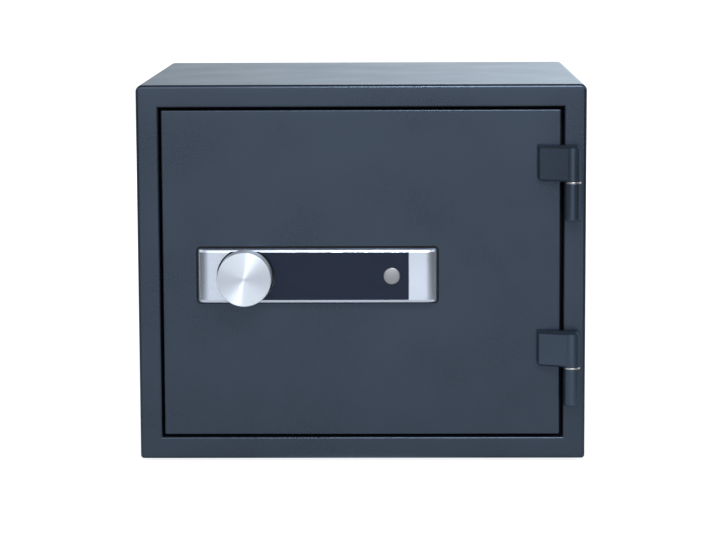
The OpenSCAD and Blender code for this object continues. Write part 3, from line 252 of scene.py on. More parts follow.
# %% The floor's levels
FLOOR_HALF = 30.0
FLOOR_TONE = (0.80, 0.80, 0.80, 1)
FLOOR_GLOW = 0.88
FLOOR_SHARE = 0.30
NEAR, FAR = 0.9, 2.4
MIRROR_NEAR, MIRROR_FAR, MIRROR_SHARE = 0.165, 0.20, 0.41
BESIDE_NEAR, BESIDE_FAR, BEHIND_FAR = 0.26, 0.70, 0.60
PAPER_LEFT, PAPER_RIGHT = -0.20, 0.16
CLOTH_LEFT, CLOTH_RIGHT = -0.95, 0.66
CLOTH_LEVEL = 0.08
# Where each change on the floor starts and ends, in metres.
BEHIND_FROM_Y, REAR_FROM_Y = (-0.28, -0.08), (0.15, 0.40)
REAR_ENDS_AT, BESIDE_RISE_AT = (0.85, 0.45), (2.20, 3.00)
print("the floor glows at", FLOOR_GLOW, "near the safe and at 1 from", FAR, "m out")

# %% Floor
floor_mesh = bpy.data.meshes.new("studio_floor")
corners = [(x * FLOOR_HALF, y * FLOOR_HALF, 0.0) for x, y in ((-1, -1), (1, -1), (1, 1), (-1, 1))]
floor_mesh.from_pydata(corners, [], [(0, 1, 2, 3)])
floor = bpy.data.objects.new("studio_floor", floor_mesh)
bpy.context.scene.collection.objects.link(floor)
floor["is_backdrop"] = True

paper = bpy.data.materials.new("pale_paper")
paper.use_nodes = True
sheet = paper.node_tree
sheet.nodes.clear()
ray = add(sheet, "LightPath").outputs
where = add(sheet, "TexCoord").outputs["Object"]
place = add(sheet, "SeparateXYZ", {0: where}).outputs
away = add(sheet, "VectorMath", {0: where}, operation="LENGTH").outputs["Value"]
off_centre = maths(sheet, "ABSOLUTE", place["X"])
behind = ramp(sheet, place["Y"], *BEHIND_FROM_Y)
strip_left = ramp(sheet, place["X"], PAPER_LEFT, CLOTH_LEFT, 1, CLOTH_LEVEL)
strip_right = ramp(sheet, place["X"], PAPER_RIGHT, CLOTH_RIGHT, 1, CLOTH_LEVEL)
strip = most(sheet, maths(sheet, "MINIMUM", strip_left, strip_right), behind)
is_glossy = ray["Is Glossy Ray"]
direct = most(sheet, ray["Is Camera Ray"], ray["Is Transmission Ray"], product(sheet, is_glossy, strip))
matt = add(sheet, "BsdfDiffuse", {"Color": blend(sheet, strip, (0, 0, 0, 1), FLOOR_TONE)})
thin = add(sheet, "BsdfDiffuse", {"Color": (FLOOR_SHARE, FLOOR_SHARE, FLOOR_SHARE, 1)})
bright = ramp(sheet, away, NEAR, FAR, FLOOR_GLOW, 1)
dimmed = ramp(sheet, away, MIRROR_NEAR, MIRROR_FAR, FLOOR_GLOW, FLOOR_GLOW * MIRROR_SHARE)
beside = ramp(sheet, off_centre, *BESIDE_RISE_AT, BESIDE_NEAR, BESIDE_FAR)
rear = product(sheet, ramp(sheet, place["Y"], *REAR_FROM_Y, 0, BEHIND_FAR),
               ramp(sheet, off_centre, *REAR_ENDS_AT))
dimmed = most(sheet, dimmed, product(sheet, behind, most(sheet, beside, rear)))
strength = add(sheet, "Mix", {"Factor": is_glossy, 2: bright, 3: dimmed}, data_type="FLOAT").outputs[0]
glow = add(sheet, "Emission", {"Color": WHITE, "Strength": strength})
lit = add(sheet, "AddShader", {0: thin.outputs[0], 1: glow.outputs[0]})
pick = add(sheet, "MixShader", {0: direct, 1: matt.outputs[0], 2: lit.outputs[0]})
add(sheet, "OutputMaterial", {"Surface": pick.outputs[0]})
floor_mesh.materials.append(paper)
print("a floor of", 2 * FLOOR_HALF, "m a side")

# %% Soft boxes
TARGET = np.array([0.0, -0.17, 0.18])


def soft_box(name, direction, distance, width, height, watts, mirrored=False):
    """A lamp that looks at the safe from a direction, at a distance in metres.

    A mirrored one shows in gloss; the others light the paint and leave no marks on metal.
    """
    lamp = bpy.data.lights.new(name, "AREA")
    lamp.shape = "RECTANGLE"
    lamp.size = width
    lamp.size_y = height
    lamp.energy = watts
    obj = bpy.data.objects.new(name, lamp)
    obj.visible_glossy = mirrored
    bpy.context.scene.collection.objects.link(obj)
    away = np.array(direction) / np.linalg.norm(direction)
    aim = Vector(away).to_track_quat("Z", "Y").to_matrix().to_4x4()
    obj.matrix_world = Matrix.Translation(TARGET + away * distance) @ aim
    print(name, "at", [round(c, 2) for c in obj.location])


soft_box("key_box", (0.24, -0.75, 0.60), 1.6, 0.78, 0.40, 10.0, mirrored=True)
soft_box("strip_box", (0.05, -0.75, 0.60), 1.6, 0.14, 0.40, 4.0, mirrored=True)
soft_box("front_fill", (-0.30, -0.95, 0.05), 3.2, 2.20, 2.20, 30.0)
soft_box("left_fill", (-1.00, 0.80, 0.25), 3.2, 2.20, 2.20, 50.0)
soft_box("right_fill", (1.00, 0.80, 0.25), 3.2, 2.20, 2.20, 50.0)
soft_box("rear_fill", (0.00, 1.00, 0.30), 3.2, 2.20, 2.20, 16.0)

# %% [markdown]
# ## Grain, tone and relief
# No real finish is one flat colour. Powder coat has orange peel, plaster has pits, and sheet
# metal has the marks of its rollers. All of these start from noise in the piece's own
# coordinates, whose size is given in millimetres, so the same finish has the same grain on a
# large sheet and on a small screw.

# %% Helpers for finishes
finishes = {}


def begin(name):
    """A new finish: its tree, its shader and the coordinates of the piece that wears it."""
    finishes[name] = bpy.data.materials.new(name)
    finishes[name].use_nodes = True
    tree = finishes[name].node_tree
    return tree, tree.nodes["Principled BSDF"], add(tree, "TexCoord").outputs["Object"]


def fill(shader, **sockets):
    """Sets a shader's own sockets to plain values. A socket's name has _ for its spaces."""
    for name, value in sockets.items():
        shader.inputs[name.replace("_", " ")].default_value = value


def noise(tree, where, size, detail=2.0, stretch=(1, 1, 1)):
    """Noise with blotches of about size millimetres, drawn out along an axis by stretch."""
    scaled = add(tree, "Mapping", {"Vector": where, "Scale": stretch}).outputs[0]
    sockets = {"Vector": scaled, "Scale": 1 / (size * MM), "Detail": detail}
    return add(tree, "TexNoise", sockets).outputs["Fac"]


print("a finish can be begun and given noise")

# %% Tone and relief
NOISE_SPAN = (0.3, 0.7)  # nearly all of a noise's values lie in it


def shade(colour, factor):
    """A colour made lighter or darker by a factor, with its alpha."""
    return (*(min(1.0, channel * factor) for channel in colour[:3]), 1)


def weighed(tree, share, first, second):
    """The first output times its share, plus the second times what is left."""
    parts = [maths(tree, "MULTIPLY", first, share), maths(tree, "MULTIPLY", second, round(1 - share, 2))]
    return maths(tree, "ADD", *parts)


def vary(tree, shader, fac, colour, change, roughness, rough_change):
    """Moves a shader's colour and roughness up and down with the noise."""
    even = ramp(tree, fac, *NOISE_SPAN)
    tint = blend(tree, even, shade(colour, 1 - change), shade(colour, 1 + change))
    tree.links.new(tint, shader.inputs["Base Color"])
    rough = ramp(tree, fac, *NOISE_SPAN, roughness - rough_change, roughness + rough_change)
    tree.links.new(rough, shader.inputs["Roughness"])
    return tint


def relief(tree, shader, height, depth, strength):
    """Bumps of a depth in millimetres where the height goes from 0 to 1."""
    sockets = {"Height": height, "Distance": depth * MM, "Strength": strength}
    tree.links.new(add(tree, "Bump", sockets).outputs["Normal"], shader.inputs["Normal"])


print("noise can change tone, gloss and relief")

# %% [markdown]
# ## Powder coat
# The casing and the door are sprayed with powder and baked. The film flows into a skin with
# shallow waves a millimetre or two wide, and it is a little duller where it is thicker. The
# hinges are sprayed apart from the casing, and their film is smoother. Their gloss at a grazing
# angle is tinted dark: painted shade, which keeps the knuckles' flanks dark.
# The paint reflects little from the front and much at a grazing angle, so the roof is paler than
# the door.

# %% Paints
SOFT_IOR = 1.30  # lower than real resin's, as on all that shouldn't mirror the studio face on
FLAKE_GLANCE = (0.67, 0.84, 1.0, 1)
# The hinges' dark grazing tint is painted shade: it dims their gloss from the side, so the knuckles' flanks
# stay dark.
HINGE_SHADED_GLANCE = (0.22, 0.27, 0.34, 1)


def powder_coat(slot, colour, roughness, peel=1.6, depth=0.020, flake=0.8, glance=FLAKE_GLANCE):
    """Cloudy tone over 70 mm, fine grain, orange peel in the relief, and a share of metal flake.

    The glance is the tint of its gloss at a grazing angle.
    """
    tree, shader, where = begin(slot)
    cloud = noise(tree, where, 70, 3.0)
    grain = noise(tree, where, 0.9)
    vary(tree, shader, weighed(tree, 0.6, cloud, grain), colour, 0.07, roughness, 0.035)
    waves = noise(tree, where, peel, 1.5)
    relief(tree, shader, waves, depth, 0.7)
    fill(shader, IOR=SOFT_IOR, Metallic=flake, Specular_Tint=glance)


powder_coat("body_paint", (0.050, 0.067, 0.096), 0.29)
powder_coat("hinge_paint", (0.066, 0.091, 0.131), 0.26, glance=HINGE_SHADED_GLANCE)
powder_coat("liner", tone_of["liner"], 0.55, peel=1.2, flake=0.0)
print("paints:", sorted(finishes))

# %% [markdown]
# ## Metals
# Rolled and ground parts carry fine lines along one direction, so their noise is drawn out
# twentyfold. Zinc plate has shorter marks and is cloudier. The lock case is a zinc casting under a
# satin silver lacquer: part metal, part paint, with grain too fine to see as lines. The knob is
# spun on a lathe, so its lines run in circles, and light makes wedges across them. That needs
# anisotropy with a tangent that follows the circles, which the knob carries in a UV map.

# %% Rolled, plated and cast metals
def rolled_metal(slot, colour, roughness, stretch, change=0.06, depth=0.004):
    """Fine lines along one axis, with a soft cloud in the tone."""
    tree, shader, where = begin(slot)
    lines = noise(tree, where, 0.35, 2.0, stretch)
    cloud = noise(tree, where, 9)
    vary(tree, shader, weighed(tree, 0.6, lines, cloud), colour, change, roughness, 0.07)
    relief(tree, shader, lines, depth, 0.6)
    fill(shader, Metallic=1.0)


def satin_lacquer(slot, colour, roughness, metal):
    """A lacquered casting: silver flake under a clear film, with a grain of a quarter millimetre."""
    tree, shader, where = begin(slot)
    flake = noise(tree, where, 0.25)
    cloud = noise(tree, where, 40)
    vary(tree, shader, weighed(tree, 0.5, cloud, flake), colour, 0.035, roughness, 0.04)
    relief(tree, shader, flake, 0.004, 0.5)
    fill(shader, Metallic=metal)


rolled_metal("bright_steel", tone_of["bright_steel"], 0.24, (0.05, 1, 1), 0.05, 0.003)
rolled_metal("zinc_steel", tone_of["zinc_steel"], 0.36, (0.3, 0.3, 1), 0.10)
rolled_metal("brass", tone_of["brass"], 0.30, (1, 0.05, 1))
satin_lacquer("satin_silver", (0.735, 0.825, 0.975), 0.24, 0.93)
satin_lacquer("badge_metal", (0.32, 0.33, 0.36), 0.34, 0.9)
print("metals:", sorted(finishes))

# %% The spun knob
def spun_metal(slot, colour, roughness, pitch):
    """Circles round the knob's axis: their relief and their sheen both follow the radius."""
    tree, shader, where = begin(slot)
    centre = tuple(middle("knob_cap", axis) * MM for axis in "XYZ")
    centred = add(tree, "VectorMath", {0: where, 1: centre}, operation="SUBTRACT").outputs[0]
    flat = add(tree, "VectorMath", {0: centred, 1: (1, 0, 1)}, operation="MULTIPLY").outputs[0]
    radius = add(tree, "VectorMath", {0: flat}, operation="LENGTH").outputs["Value"]
    rings = add(tree, "TexNoise", {"W": maths(tree, "MULTIPLY", radius, 1 / (pitch * MM)), "Detail": 3.0,
                                   "Scale": 1.0}, noise_dimensions="1D").outputs["Fac"]
    vary(tree, shader, rings, colour, 0.05, roughness, 0.05)
    relief(tree, shader, rings, 0.006, 0.6)
    tangent = add(tree, "Tangent", direction_type="UV_MAP", uv_map="turned").outputs[0]
    tree.links.new(tangent, shader.inputs["Tangent"])
    fill(shader, Metallic=0.6, Anisotropic=0.97, Anisotropic_Rotation=0.25)


RING_PITCH = 0.22
spun_metal("spun_aluminium", (0.64, 0.71, 0.81), 0.36, RING_PITCH)
print("the knob's rings are", RING_PITCH, "mm apart")

# %% [markdown]
# ## Plastics, rubber and the window
# A moulding takes the texture of its mould, here a spark-eroded grain a third of a millimetre
# wide. Rubber is duller and has a bloom. The touch window is polished acrylic over black ink: it
# has no grain, and its gloss changes only with faint wiping marks.

# %% Mouldings
def moulding(slot, colour, roughness, grain_size=0.35, depth=0.012, change=0.10):
    """Spark-eroded grain in tone, roughness and relief."""
    tree, shader, where = begin(slot)
    grain = noise(tree, where, grain_size, 3.0)
    bloom = noise(tree, where, 14)
    vary(tree, shader, weighed(tree, 0.5, bloom, grain), colour, change, roughness, 0.06)
    relief(tree, shader, grain, depth, 0.8)
    fill(shader, IOR=SOFT_IOR)


# Black plastic is darker than plain black moulding, so that the knob's collar also gives the painted shade in
# the well round the knob; the other black mouldings share it.
moulding("black_plastic", (0.006, 0.006, 0.007), 0.50)
moulding("white_plastic", tone_of["white_plastic"], 0.42, depth=0.004)
# Rubber is near black, darker than plain rubber, so that the gasket draws a painted shade line round the lock
# case; the other rubber parts share it.
moulding("rubber", (0.004, 0.004, 0.004), 0.75, 0.5, 0.015, 0.18)
moulding("fire_strip", tone_of["fire_strip"], 0.80, 0.8, 0.060, 0.25)


def polished_window(slot, colour):
    """Ink under acrylic: a dark, smooth base with faint wiping marks in its gloss."""
    tree, shader, where = begin(slot)
    wiped = noise(tree, where, 6, 2.0, (0.25, 1, 1))
    vary(tree, shader, wiped, colour, 0.05, 0.16, 0.03)
    fill(shader, IOR=SOFT_IOR)


polished_window("window", (0.009, 0.015, 0.032))
print("mouldings and the window are mixed")

# %% [markdown]
# ## Plaster, felt, boards and cells
# These show when the door is open or the covers are off. The fill is a light plaster with air
# bubbles, which Voronoi cells give as pits. Felt is a tangle of short fibres: noise drawn out
# along two directions, with sheen. A board is green with paler tracks, and a cell's wrap has a
# metal band near its tip.

# %% Plaster
def foamed_plaster(slot, colour):
    """Bubbles of a few millimetres as round pits in a chalky ground, darkened as painted shade."""
    tree, shader, where = begin(slot)
    cells = add(tree, "TexVoronoi", {"Vector": where, "Scale": 1 / (4 * MM)}).outputs["Distance"]
    pits = ramp(tree, cells, 0.10, 0.32)
    chalk = noise(tree, where, 12, 4.0)
    tint = vary(tree, shader, chalk, colour, 0.10, 0.90, 0.04)
    # The pits' colour is darkened to 0.62 of the plaster's: painted shade in the bubbles.
    deep = blend(tree, pits, shade(colour, 0.62), tint)
    tree.links.new(deep, shader.inputs["Base Color"])
    relief(tree, shader, pits, 0.5, 0.8)


foamed_plaster("insulation", tone_of["insulation"])
print("plaster is mixed")

# %% Felt
def felt(slot, colour):
    """Fibres lie along two directions, each as noise drawn out twelvefold, under a soft sheen."""
    tree, shader, where = begin(slot)
    along = noise(tree, where, 0.30, 3.0, (0.08, 1, 1))
    across = noise(tree, where, 0.30, 3.0, (1, 0.08, 1))
    fibres = most(tree, along, across)
    vary(tree, shader, fibres, colour, 0.45, 0.95, 0.03)
    relief(tree, shader, fibres, 0.12, 0.9)
    fill(shader, Sheen_Weight=0.35, Sheen_Roughness=0.5)


felt("felt", tone_of["felt"])
print("felt is laid")

# %% Boards and cells
def printed_board(slot, colour):
    """Solder resist with tracks: thin bands where two ramps of a brick pattern meet."""
    tree, shader, where = begin(slot)
    laid = add(tree, "Mapping", {"Vector": where, "Rotation": (math.pi / 2, 0, 0)}).outputs[0]
    sockets = {"Vector": laid, "Scale": 1 / (9 * MM), "Mortar Size": 0.03, "Bias": 0.0,
               "Color1": shade(colour, 0.9), "Color2": shade(colour, 1.1), "Mortar": shade(colour, 2.4)}
    tracks = add(tree, "TexBrick", sockets)
    tree.links.new(tracks.outputs["Color"], shader.inputs["Base Color"])
    resist = noise(tree, where, 3)
    tree.links.new(ramp(tree, resist, *NOISE_SPAN, 0.30, 0.42), shader.inputs["Roughness"])
    relief(tree, shader, tracks.outputs["Fac"], 0.03, 0.5)


def cell_wrap(slot, colour, band_low, band_high):
    """A dark sleeve, with a bare metal band between two heights in millimetres."""
    tree, shader, where = begin(slot)
    height = add(tree, "SeparateXYZ", {0: where}).outputs["Z"]
    above = maths(tree, "GREATER_THAN", height, band_low * MM)
    band = product(tree, above, maths(tree, "LESS_THAN", height, band_high * MM))
    scuffs = noise(tree, where, 5, 3.0)
    tint = vary(tree, shader, scuffs, colour, 0.12, 0.26, 0.06)
    tree.links.new(blend(tree, band, tint, (0.55, 0.50, 0.42, 1)), shader.inputs["Base Color"])
    tree.links.new(band, shader.inputs["Metallic"])


WRAP_BAND_FROM, WRAP_BAND_TO = 14, 2
cell_low, cell_high = span("battery_cells")
printed_board("circuit_board", tone_of["circuit_board"])
cell_wrap("cell_wrap", tone_of["cell_wrap"], cell_high[2] - WRAP_BAND_FROM, cell_high[2] - WRAP_BAND_TO)
missing = sorted(set(tone_of) - set(finishes))
print(len(finishes), "finishes; slots without one:", missing)

# %% [markdown]
# ## Surfaces from arrays
# A pressed, turned or moulded part is a profile carried along a path, so its points form a grid
# with rows and columns. Neighbours in the grid are joined by quads, and a grid that closes on
# itself wraps round. Doing this as whole arrays is quick, and it keeps the shape readable as a
# formula. Doubled points at poles are merged, and the faces are then turned outwards.

# %% Grid faces and meshes
MERGE_MADE = 1e-7


def grid_faces(rows, columns, wrap_rows=False, wrap_columns=False):
    """Quads that join each point of a grid to the next row and the next column."""
    row = np.arange(rows if wrap_rows else rows - 1)
    column = np.arange(columns if wrap_columns else columns - 1)
    a, b = np.meshgrid(row, column, indexing="ij")
    down, right = (a + 1) % rows, (b + 1) % columns
    quads = np.stack([a * columns + b, a * columns + right, down * columns + right, down * columns + b], -1)
    return quads.reshape(-1, 4)


def solid(name, points, faces):
    """A closed mesh object from points in millimetres and faces, merged and turned outwards."""
    mesh = bpy.data.meshes.new(name)
    mesh.from_pydata((np.asarray(points) * MM).tolist(), [], [list(map(int, face)) for face in faces])
    work = bmesh.new()
    work.from_mesh(mesh)
    bmesh.ops.remove_doubles(work, verts=work.verts, dist=MERGE_MADE)
    bmesh.ops.recalc_face_normals(work, faces=work.faces)
    open_edges = sum(1 for edge in work.edges if len(edge.link_faces) != 2)
    work.to_mesh(mesh)
    work.free()
    made = bpy.data.objects.new(name, mesh)
    bpy.context.scene.collection.objects.link(made)
    print(name, len(mesh.vertices), "points", open_edges, "open edges")
    return made


def joined(shapes):
    """Several (points, faces) pairs as one."""
    starts = np.cumsum([0] + [len(points) for points, _ in shapes[:-1]])
    faces = [[int(i) + start for i in face] for (_, fs), start in zip(shapes, starts.tolist()) for face in fs]
    return np.concatenate([points for points, _ in shapes]), faces


print("grids can be joined and made solid")

# %% [markdown]
# ## Dressing a piece
# A finished piece gets its finish, its slot and its body from the node that it stands for. Its
# faces are smoothed, and edges sharper than a limit stay sharp. Weighted normals keep large flat
# sheets flat beside small roundings, where plain smoothing would make them look dented.

# %% Dressing
def dress(piece, node, sharp=38):
    """Gives a piece the finish, slot and body of the node it stands for, and hides that node."""
    slot = slot_with[node]
    piece.data.materials.clear()
    piece.data.materials.append(finishes[slot])
    piece.data.shade_smooth()
    piece.data.set_sharp_from_angle(angle=math.radians(sharp))
    weigh = piece.modifiers.new("flat_sheets", "WEIGHTED_NORMAL")
    weigh.keep_sharp = True
    weigh.weight = 80
    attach(piece, body_with[node])
    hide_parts(node)
    return piece


print(len(slot_with), "nodes know their slot")

# %% [markdown]
# ## Softened copies
# Many parts are already right in the frame: folded brackets, covers, the carrier. On a real one
# no edge is perfectly sharp, and the light catches it. A copy of the node is merged, its flat
# triangles are joined, and a small bevel goes along its edges. The frame's own mesh is left alone.

# %% Softened copies of CAD nodes
MERGE_COPIED = 2e-6


def merged_copy(node, name):
    """A new object with a node's mesh, its points merged and its flat triangles joined."""
    mesh = frame["nodes"][node].data.copy()
    work = bmesh.new()
    work.from_mesh(mesh)
    bmesh.ops.remove_doubles(work, verts=work.verts, dist=MERGE_COPIED)
    bmesh.ops.dissolve_limit(work, angle_limit=math.radians(1), verts=work.verts, edges=work.edges)
    work.to_mesh(mesh)
    work.free()
    piece = bpy.data.objects.new(name, mesh)
    bpy.context.scene.collection.objects.link(piece)
    return piece


SHEET_SHARP = 30


def edged(piece, width, steps, sharp=SHEET_SHARP):
    """Adds a bevel of a width in millimetres along the edges sharper than an angle in degrees."""
    edge = piece.modifiers.new("soft_edges", "BEVEL")
    edge.width = width * MM
    edge.segments = steps
    edge.limit_method = "ANGLE"
    edge.angle_limit = math.radians(sharp)
    edge.miter_outer = "MITER_ARC"
    return piece


def softened(node, width, steps=2, name=None):
    """A dressed copy of a node with softened edges."""
    piece = edged(merged_copy(node, name or "soft_" + node), width, steps)
    print(piece.name, len(piece.data.polygons), "faces before the bevel")
    return dress(piece, node, SHEET_SHARP)


print("nodes can be copied and softened")

# %% [markdown]
# ## Rounding a drawn profile
# Folded sheet has round folds and a turned part has broken corners. A profile is drawn with
# sharp corners, and one function rounds each by its own radius: the arc starts and ends at
# radius / tan(half the corner's angle) from the corner, and turns evenly between the two. The
# profile is then carried round a frame, for folded sheet, or round an axis, for turned parts.

# %% Profiles
def eased(path, radii, steps=4):
    """A path of 2-D points with each corner turned into an arc of its radius."""
    path = np.asarray(path, float)
    points = []
    for i, radius in enumerate(radii):
        corner, following = path[i], path[(i + 1) % len(path)]
        if radius <= 0:
            points.append(corner)
            continue
        back = (path[i - 1] - corner) / np.linalg.norm(path[i - 1] - corner)
        ahead = (following - corner) / np.linalg.norm(following - corner)
        bend = math.acos(np.clip(back @ ahead, -1, 1)) / 2
        centre = corner + (back + ahead) / np.linalg.norm(back + ahead) * radius / math.sin(bend)
        first = corner + back * radius / math.tan(bend) - centre
        last = corner + ahead * radius / math.tan(bend) - centre
        sweep = math.pi - 2 * bend
        t = np.linspace(0, 1, steps + 1)[:, None]
        arc = (np.sin((1 - t) * sweep) * first + np.sin(t * sweep) * last) / math.sin(sweep)
        points.extend(centre + arc)
    return np.array(points)


print("corners can be eased")

# %% Frames
LEAST_ROUND = 0.4


def outline(low, high, radii, inset, steps):
    """A box's front, drawn in by inset, with a quarter arc at each corner, from the lower left."""
    side_x, side_z = np.array([1, -1, -1, 1]), np.array([1, 1, -1, -1])
    corner_x = np.array([low[0], high[0], high[0], low[0]])
    corner_z = np.array([low[2], low[2], high[2], high[2]])
    radius = np.maximum(np.asarray(radii, float) - inset, LEAST_ROUND)
    angle = np.radians(np.array([180, 270, 0, 90])[:, None] + np.linspace(0, 90, steps + 1))
    px = (corner_x + side_x * (inset + radius))[:, None] + radius[:, None] * np.cos(angle)
    pz = (corner_z + side_z * (inset + radius))[:, None] + radius[:, None] * np.sin(angle)
    return np.stack([px.ravel(), pz.ravel()], 1)


def swept_frame(box, radii, profile, closed=True, steps=6, caps=()):
    """A profile of (inset, depth) carried round the front of a box with rounded corners.

    Each row of points is that front's outline drawn in by the inset, at that depth behind the
    casing's front. A cap closes the row with that number with one flat face.
    """
    rings = [outline(*box, radii, inset, steps) for inset, _ in profile]
    depths = [np.full(len(ring), front_y + depth) for ring, (_, depth) in zip(rings, profile)]
    points = np.stack([np.stack([r[:, 0], d, r[:, 1]], 1) for r, d in zip(rings, depths)])
    count = points.shape[1]
    faces = grid_faces(len(profile), count, closed, True).tolist()
    faces += [[row * count + i for i in range(count)] for row in (c % len(profile) for c in caps)]
    return points.reshape(-1, 3), faces


print("a profile can be carried round a frame")

# %% Lathe
def turned(profile, centre, axis, around=72, closed=False):
    """A profile of (radius, place along the axis) carried once round an axis: a lathe."""
    profile = np.asarray(profile, float)
    angle = np.arange(around) * 2 * np.pi / around
    u = profile[:, :1] * np.cos(angle)
    v = profile[:, :1] * np.sin(angle)
    w = profile[:, 1:] + 0 * angle
    order = {"X": (w, u, v), "Y": (u, w, v), "Z": (u, v, w)}[axis]
    points = (np.stack(order, -1) + np.asarray(centre, float)).reshape(-1, 3)
    return points, grid_faces(len(profile), around, closed, True).tolist()


def pipe(low, high, radius, bore=0):
    """The profile of a pipe, or of a rod where the bore is nothing, from the inside out and back."""
    return [(bore, low), (radius, low), (radius, high), (bore, high)]


def lathed(name, node, profile, radii, places, axis="Z", around=72, closed=False):
    """One dressed piece from a profile with eased corners, turned at each of the places."""
    shapes = [turned(eased(profile, radii), place, axis, around, closed) for place in places]
    return dress(solid(name, *joined(shapes)), node)


print("a profile can be turned")

# %% [markdown]
# ## Cutting bores
# A round hole through a folded sheet is drilled after folding. Here too: the finished shell is
# cut with turned cutters by an exact Boolean, and the result is kept as a plain mesh. The same
# tool trims a rough casting, when what lies inside the cutter is kept.

# %% Bores
def bored(piece, holes, operation="DIFFERENCE"):
    """Cuts closed cutter shapes, given as (points, faces) pairs, out of a piece, or trims it to them."""
    cutter = solid(piece.name + "_cutter", *joined(holes))
    cut = piece.modifiers.new("bores", "BOOLEAN")
    cut.object = cutter
    cut.solver = "EXACT"
    cut.operation = operation
    bpy.context.view_layer.update()
    result = piece.evaluated_get(bpy.context.evaluated_depsgraph_get())
    mesh = bpy.data.meshes.new_from_object(result)
    piece.modifiers.clear()
    piece.data = mesh
    bpy.data.objects.remove(cutter)
    print(piece.name, "was cut", len(holes), "times and has", len(mesh.vertices), "points")
    return piece


print("a piece can be bored or trimmed")

# %% [markdown]
# ## The casing
# One sheet of steel is folded into the casing: sides, roof and floor, a frame in front that turns
# in to the doorway, and a narrow lip behind. Seen in section it is one profile, which runs from
# the lip along the wall, round the front edge, across the frame and into the pocket, and comes
# back inside at the sheet's thickness. That profile is carried round the front's outline.

# %% Casing
SHEET_T = 1.5
EDGE_R = 3.0
TOP_R = 6.0
BACK_LIP = 12.0
FOLD_R = 1.8
DRILL_OVER = 2.0

jamb_low, jamb_high = span("jamb_frame")
case_depth = case_high[1] - front_y
frame_w = case_high[0] - (jamb_high[0] - SHEET_T)
pocket_d = jamb_low[1] - front_y
case_radii = (EDGE_R, EDGE_R, TOP_R, TOP_R)

folded = eased(
    [(BACK_LIP, case_depth), (0, case_depth), (0, 0), (frame_w, 0), (frame_w, pocket_d),
     (frame_w - SHEET_T, pocket_d), (frame_w - SHEET_T, SHEET_T), (SHEET_T, SHEET_T),
     (SHEET_T, case_depth - SHEET_T), (BACK_LIP, case_depth - SHEET_T)],
    [0, 0.6, EDGE_R, FOLD_R, 0, 0, 0, EDGE_R - SHEET_T, 0, 0])
casing = solid("casing_shell", *swept_frame((case_low, case_high), case_radii, folded, steps=8))

sleeve_low, sleeve_high = span("anchor_sleeves")
sleeve_r, sleeve_y = half("anchor_sleeves", "Y"), middle("anchor_sleeves", "Y")
sleeve_xs = (sleeve_low[0] + sleeve_r, sleeve_high[0] - sleeve_r)
drill = pipe(case_low[2] - DRILL_OVER, case_low[2] + 2 * SHEET_T, sleeve_r)
bored(casing, [turned(drill, (x, sleeve_y, 0), "Z", 48) for x in sleeve_xs])
dress(casing, "outer_casing")

# %% [markdown]
# ## The back panel
# A flat sheet this large would drum, so its middle is pressed in by nearly a millimetre inside a
# flat border, which sits behind the casing's lip. It is a slab whose profile steps down once.

# %% Back panel
FIELD_INSET = 34.0
FIELD_SINK = 0.9
FIELD_SLOPE = 5.0
BACK_ROUND = 2

back_low, back_high = span("back_panel")
near, far = back_low[1] - front_y, back_high[1] - front_y
pressed = eased(
    [(FIELD_INSET + FIELD_SLOPE, near), (0, near), (0, far),
     (FIELD_INSET, far), (FIELD_INSET + FIELD_SLOPE, far - FIELD_SINK)],
    [0, 0, 0, 4, 0])
radii = np.array(case_radii) + BACK_ROUND
panel = swept_frame((back_low, back_high), radii, pressed, closed=False, caps=(0, -1))
dress(solid("rear_panel", *panel), "back_panel")

# %% [markdown]
# ## The door's face
# The door's skin is a shallow tray: a flat face with softly rounded edges and four sides folded
# back. Its rounding is small, so it draws one bright line along the top edge and dark gaps
# elsewhere. The holes for the spindle, the override lock and the four screws are drilled.

# %% Door skin
SLAB_R, SLAB_CORNER, FACE_BAND = 1.2, 1.6, 12

skin_box = span("door_skin")
skin_d = skin_box[1][1] - front_y
tray = eased(
    [(FACE_BAND, 0), (0, 0), (0, skin_d), (SHEET_T, skin_d), (SHEET_T, SHEET_T), (FACE_BAND, SHEET_T)],
    [0, SLAB_R, 0, 0, 0.3, 0])
face = swept_frame(skin_box, (SLAB_CORNER,) * 4, tray, closed=False, steps=5, caps=(0, -1))
skin = solid("door_face", *face)

# %% Holes in the door's skin
SCREW_HEAD_R, SCREW_HOLE_R = 4.0, 2.2
SPINDLE_SLEEVE_R = 7.0

knob_x, lock_z, knob_r = middle("knob_cap", "X"), middle("knob_cap", "Z"), half("knob_cap", "X")
badge_x, badge_r = middle("badge_cap", "X"), half("badge_cap", "X")
barrel_r = half("override_barrel", "X")
screws_low, screws_high = span("bezel_screws")
screw_xs = (screws_low[0] + SCREW_HEAD_R, screws_high[0] - SCREW_HEAD_R)
screw_zs = (screws_low[2] + SCREW_HEAD_R, screws_high[2] - SCREW_HEAD_R)


def front_drill(x, z, radius):
    """A cutter along the depth that passes the door's skin only."""
    return turned(pipe(front_y - 2 * DRILL_OVER, front_y + 2 * DRILL_OVER, radius), (x, 0, z), "Y", 40)


holes = [front_drill(knob_x, lock_z, SPINDLE_SLEEVE_R), front_drill(badge_x, lock_z, barrel_r)]
holes += [front_drill(x, z, SCREW_HOLE_R) for x in screw_xs for z in screw_zs]
bored(skin, holes)
dress(skin, "door_skin")

# %% [markdown]
# ## Seal and fire strip
# Round the back of the slab runs a soft seal, and inside it a strip that swells in a fire. The
# seal is a hollow bulb in life: its section is rounded, with a small lip along its inner foot.

# %% Seal and strip
BAND_CORNER = 5.0


def band(node, name, width, section):
    """A closed section of (share across, share of depth) carried round a node's own frame."""
    low, high = span(node)
    depth = high[1] - low[1]
    profile = [(u * width, low[1] - front_y + v * depth) for u, v in section]
    return dress(solid(name, *swept_frame((low, high), (BAND_CORNER,) * 4, profile)), node)


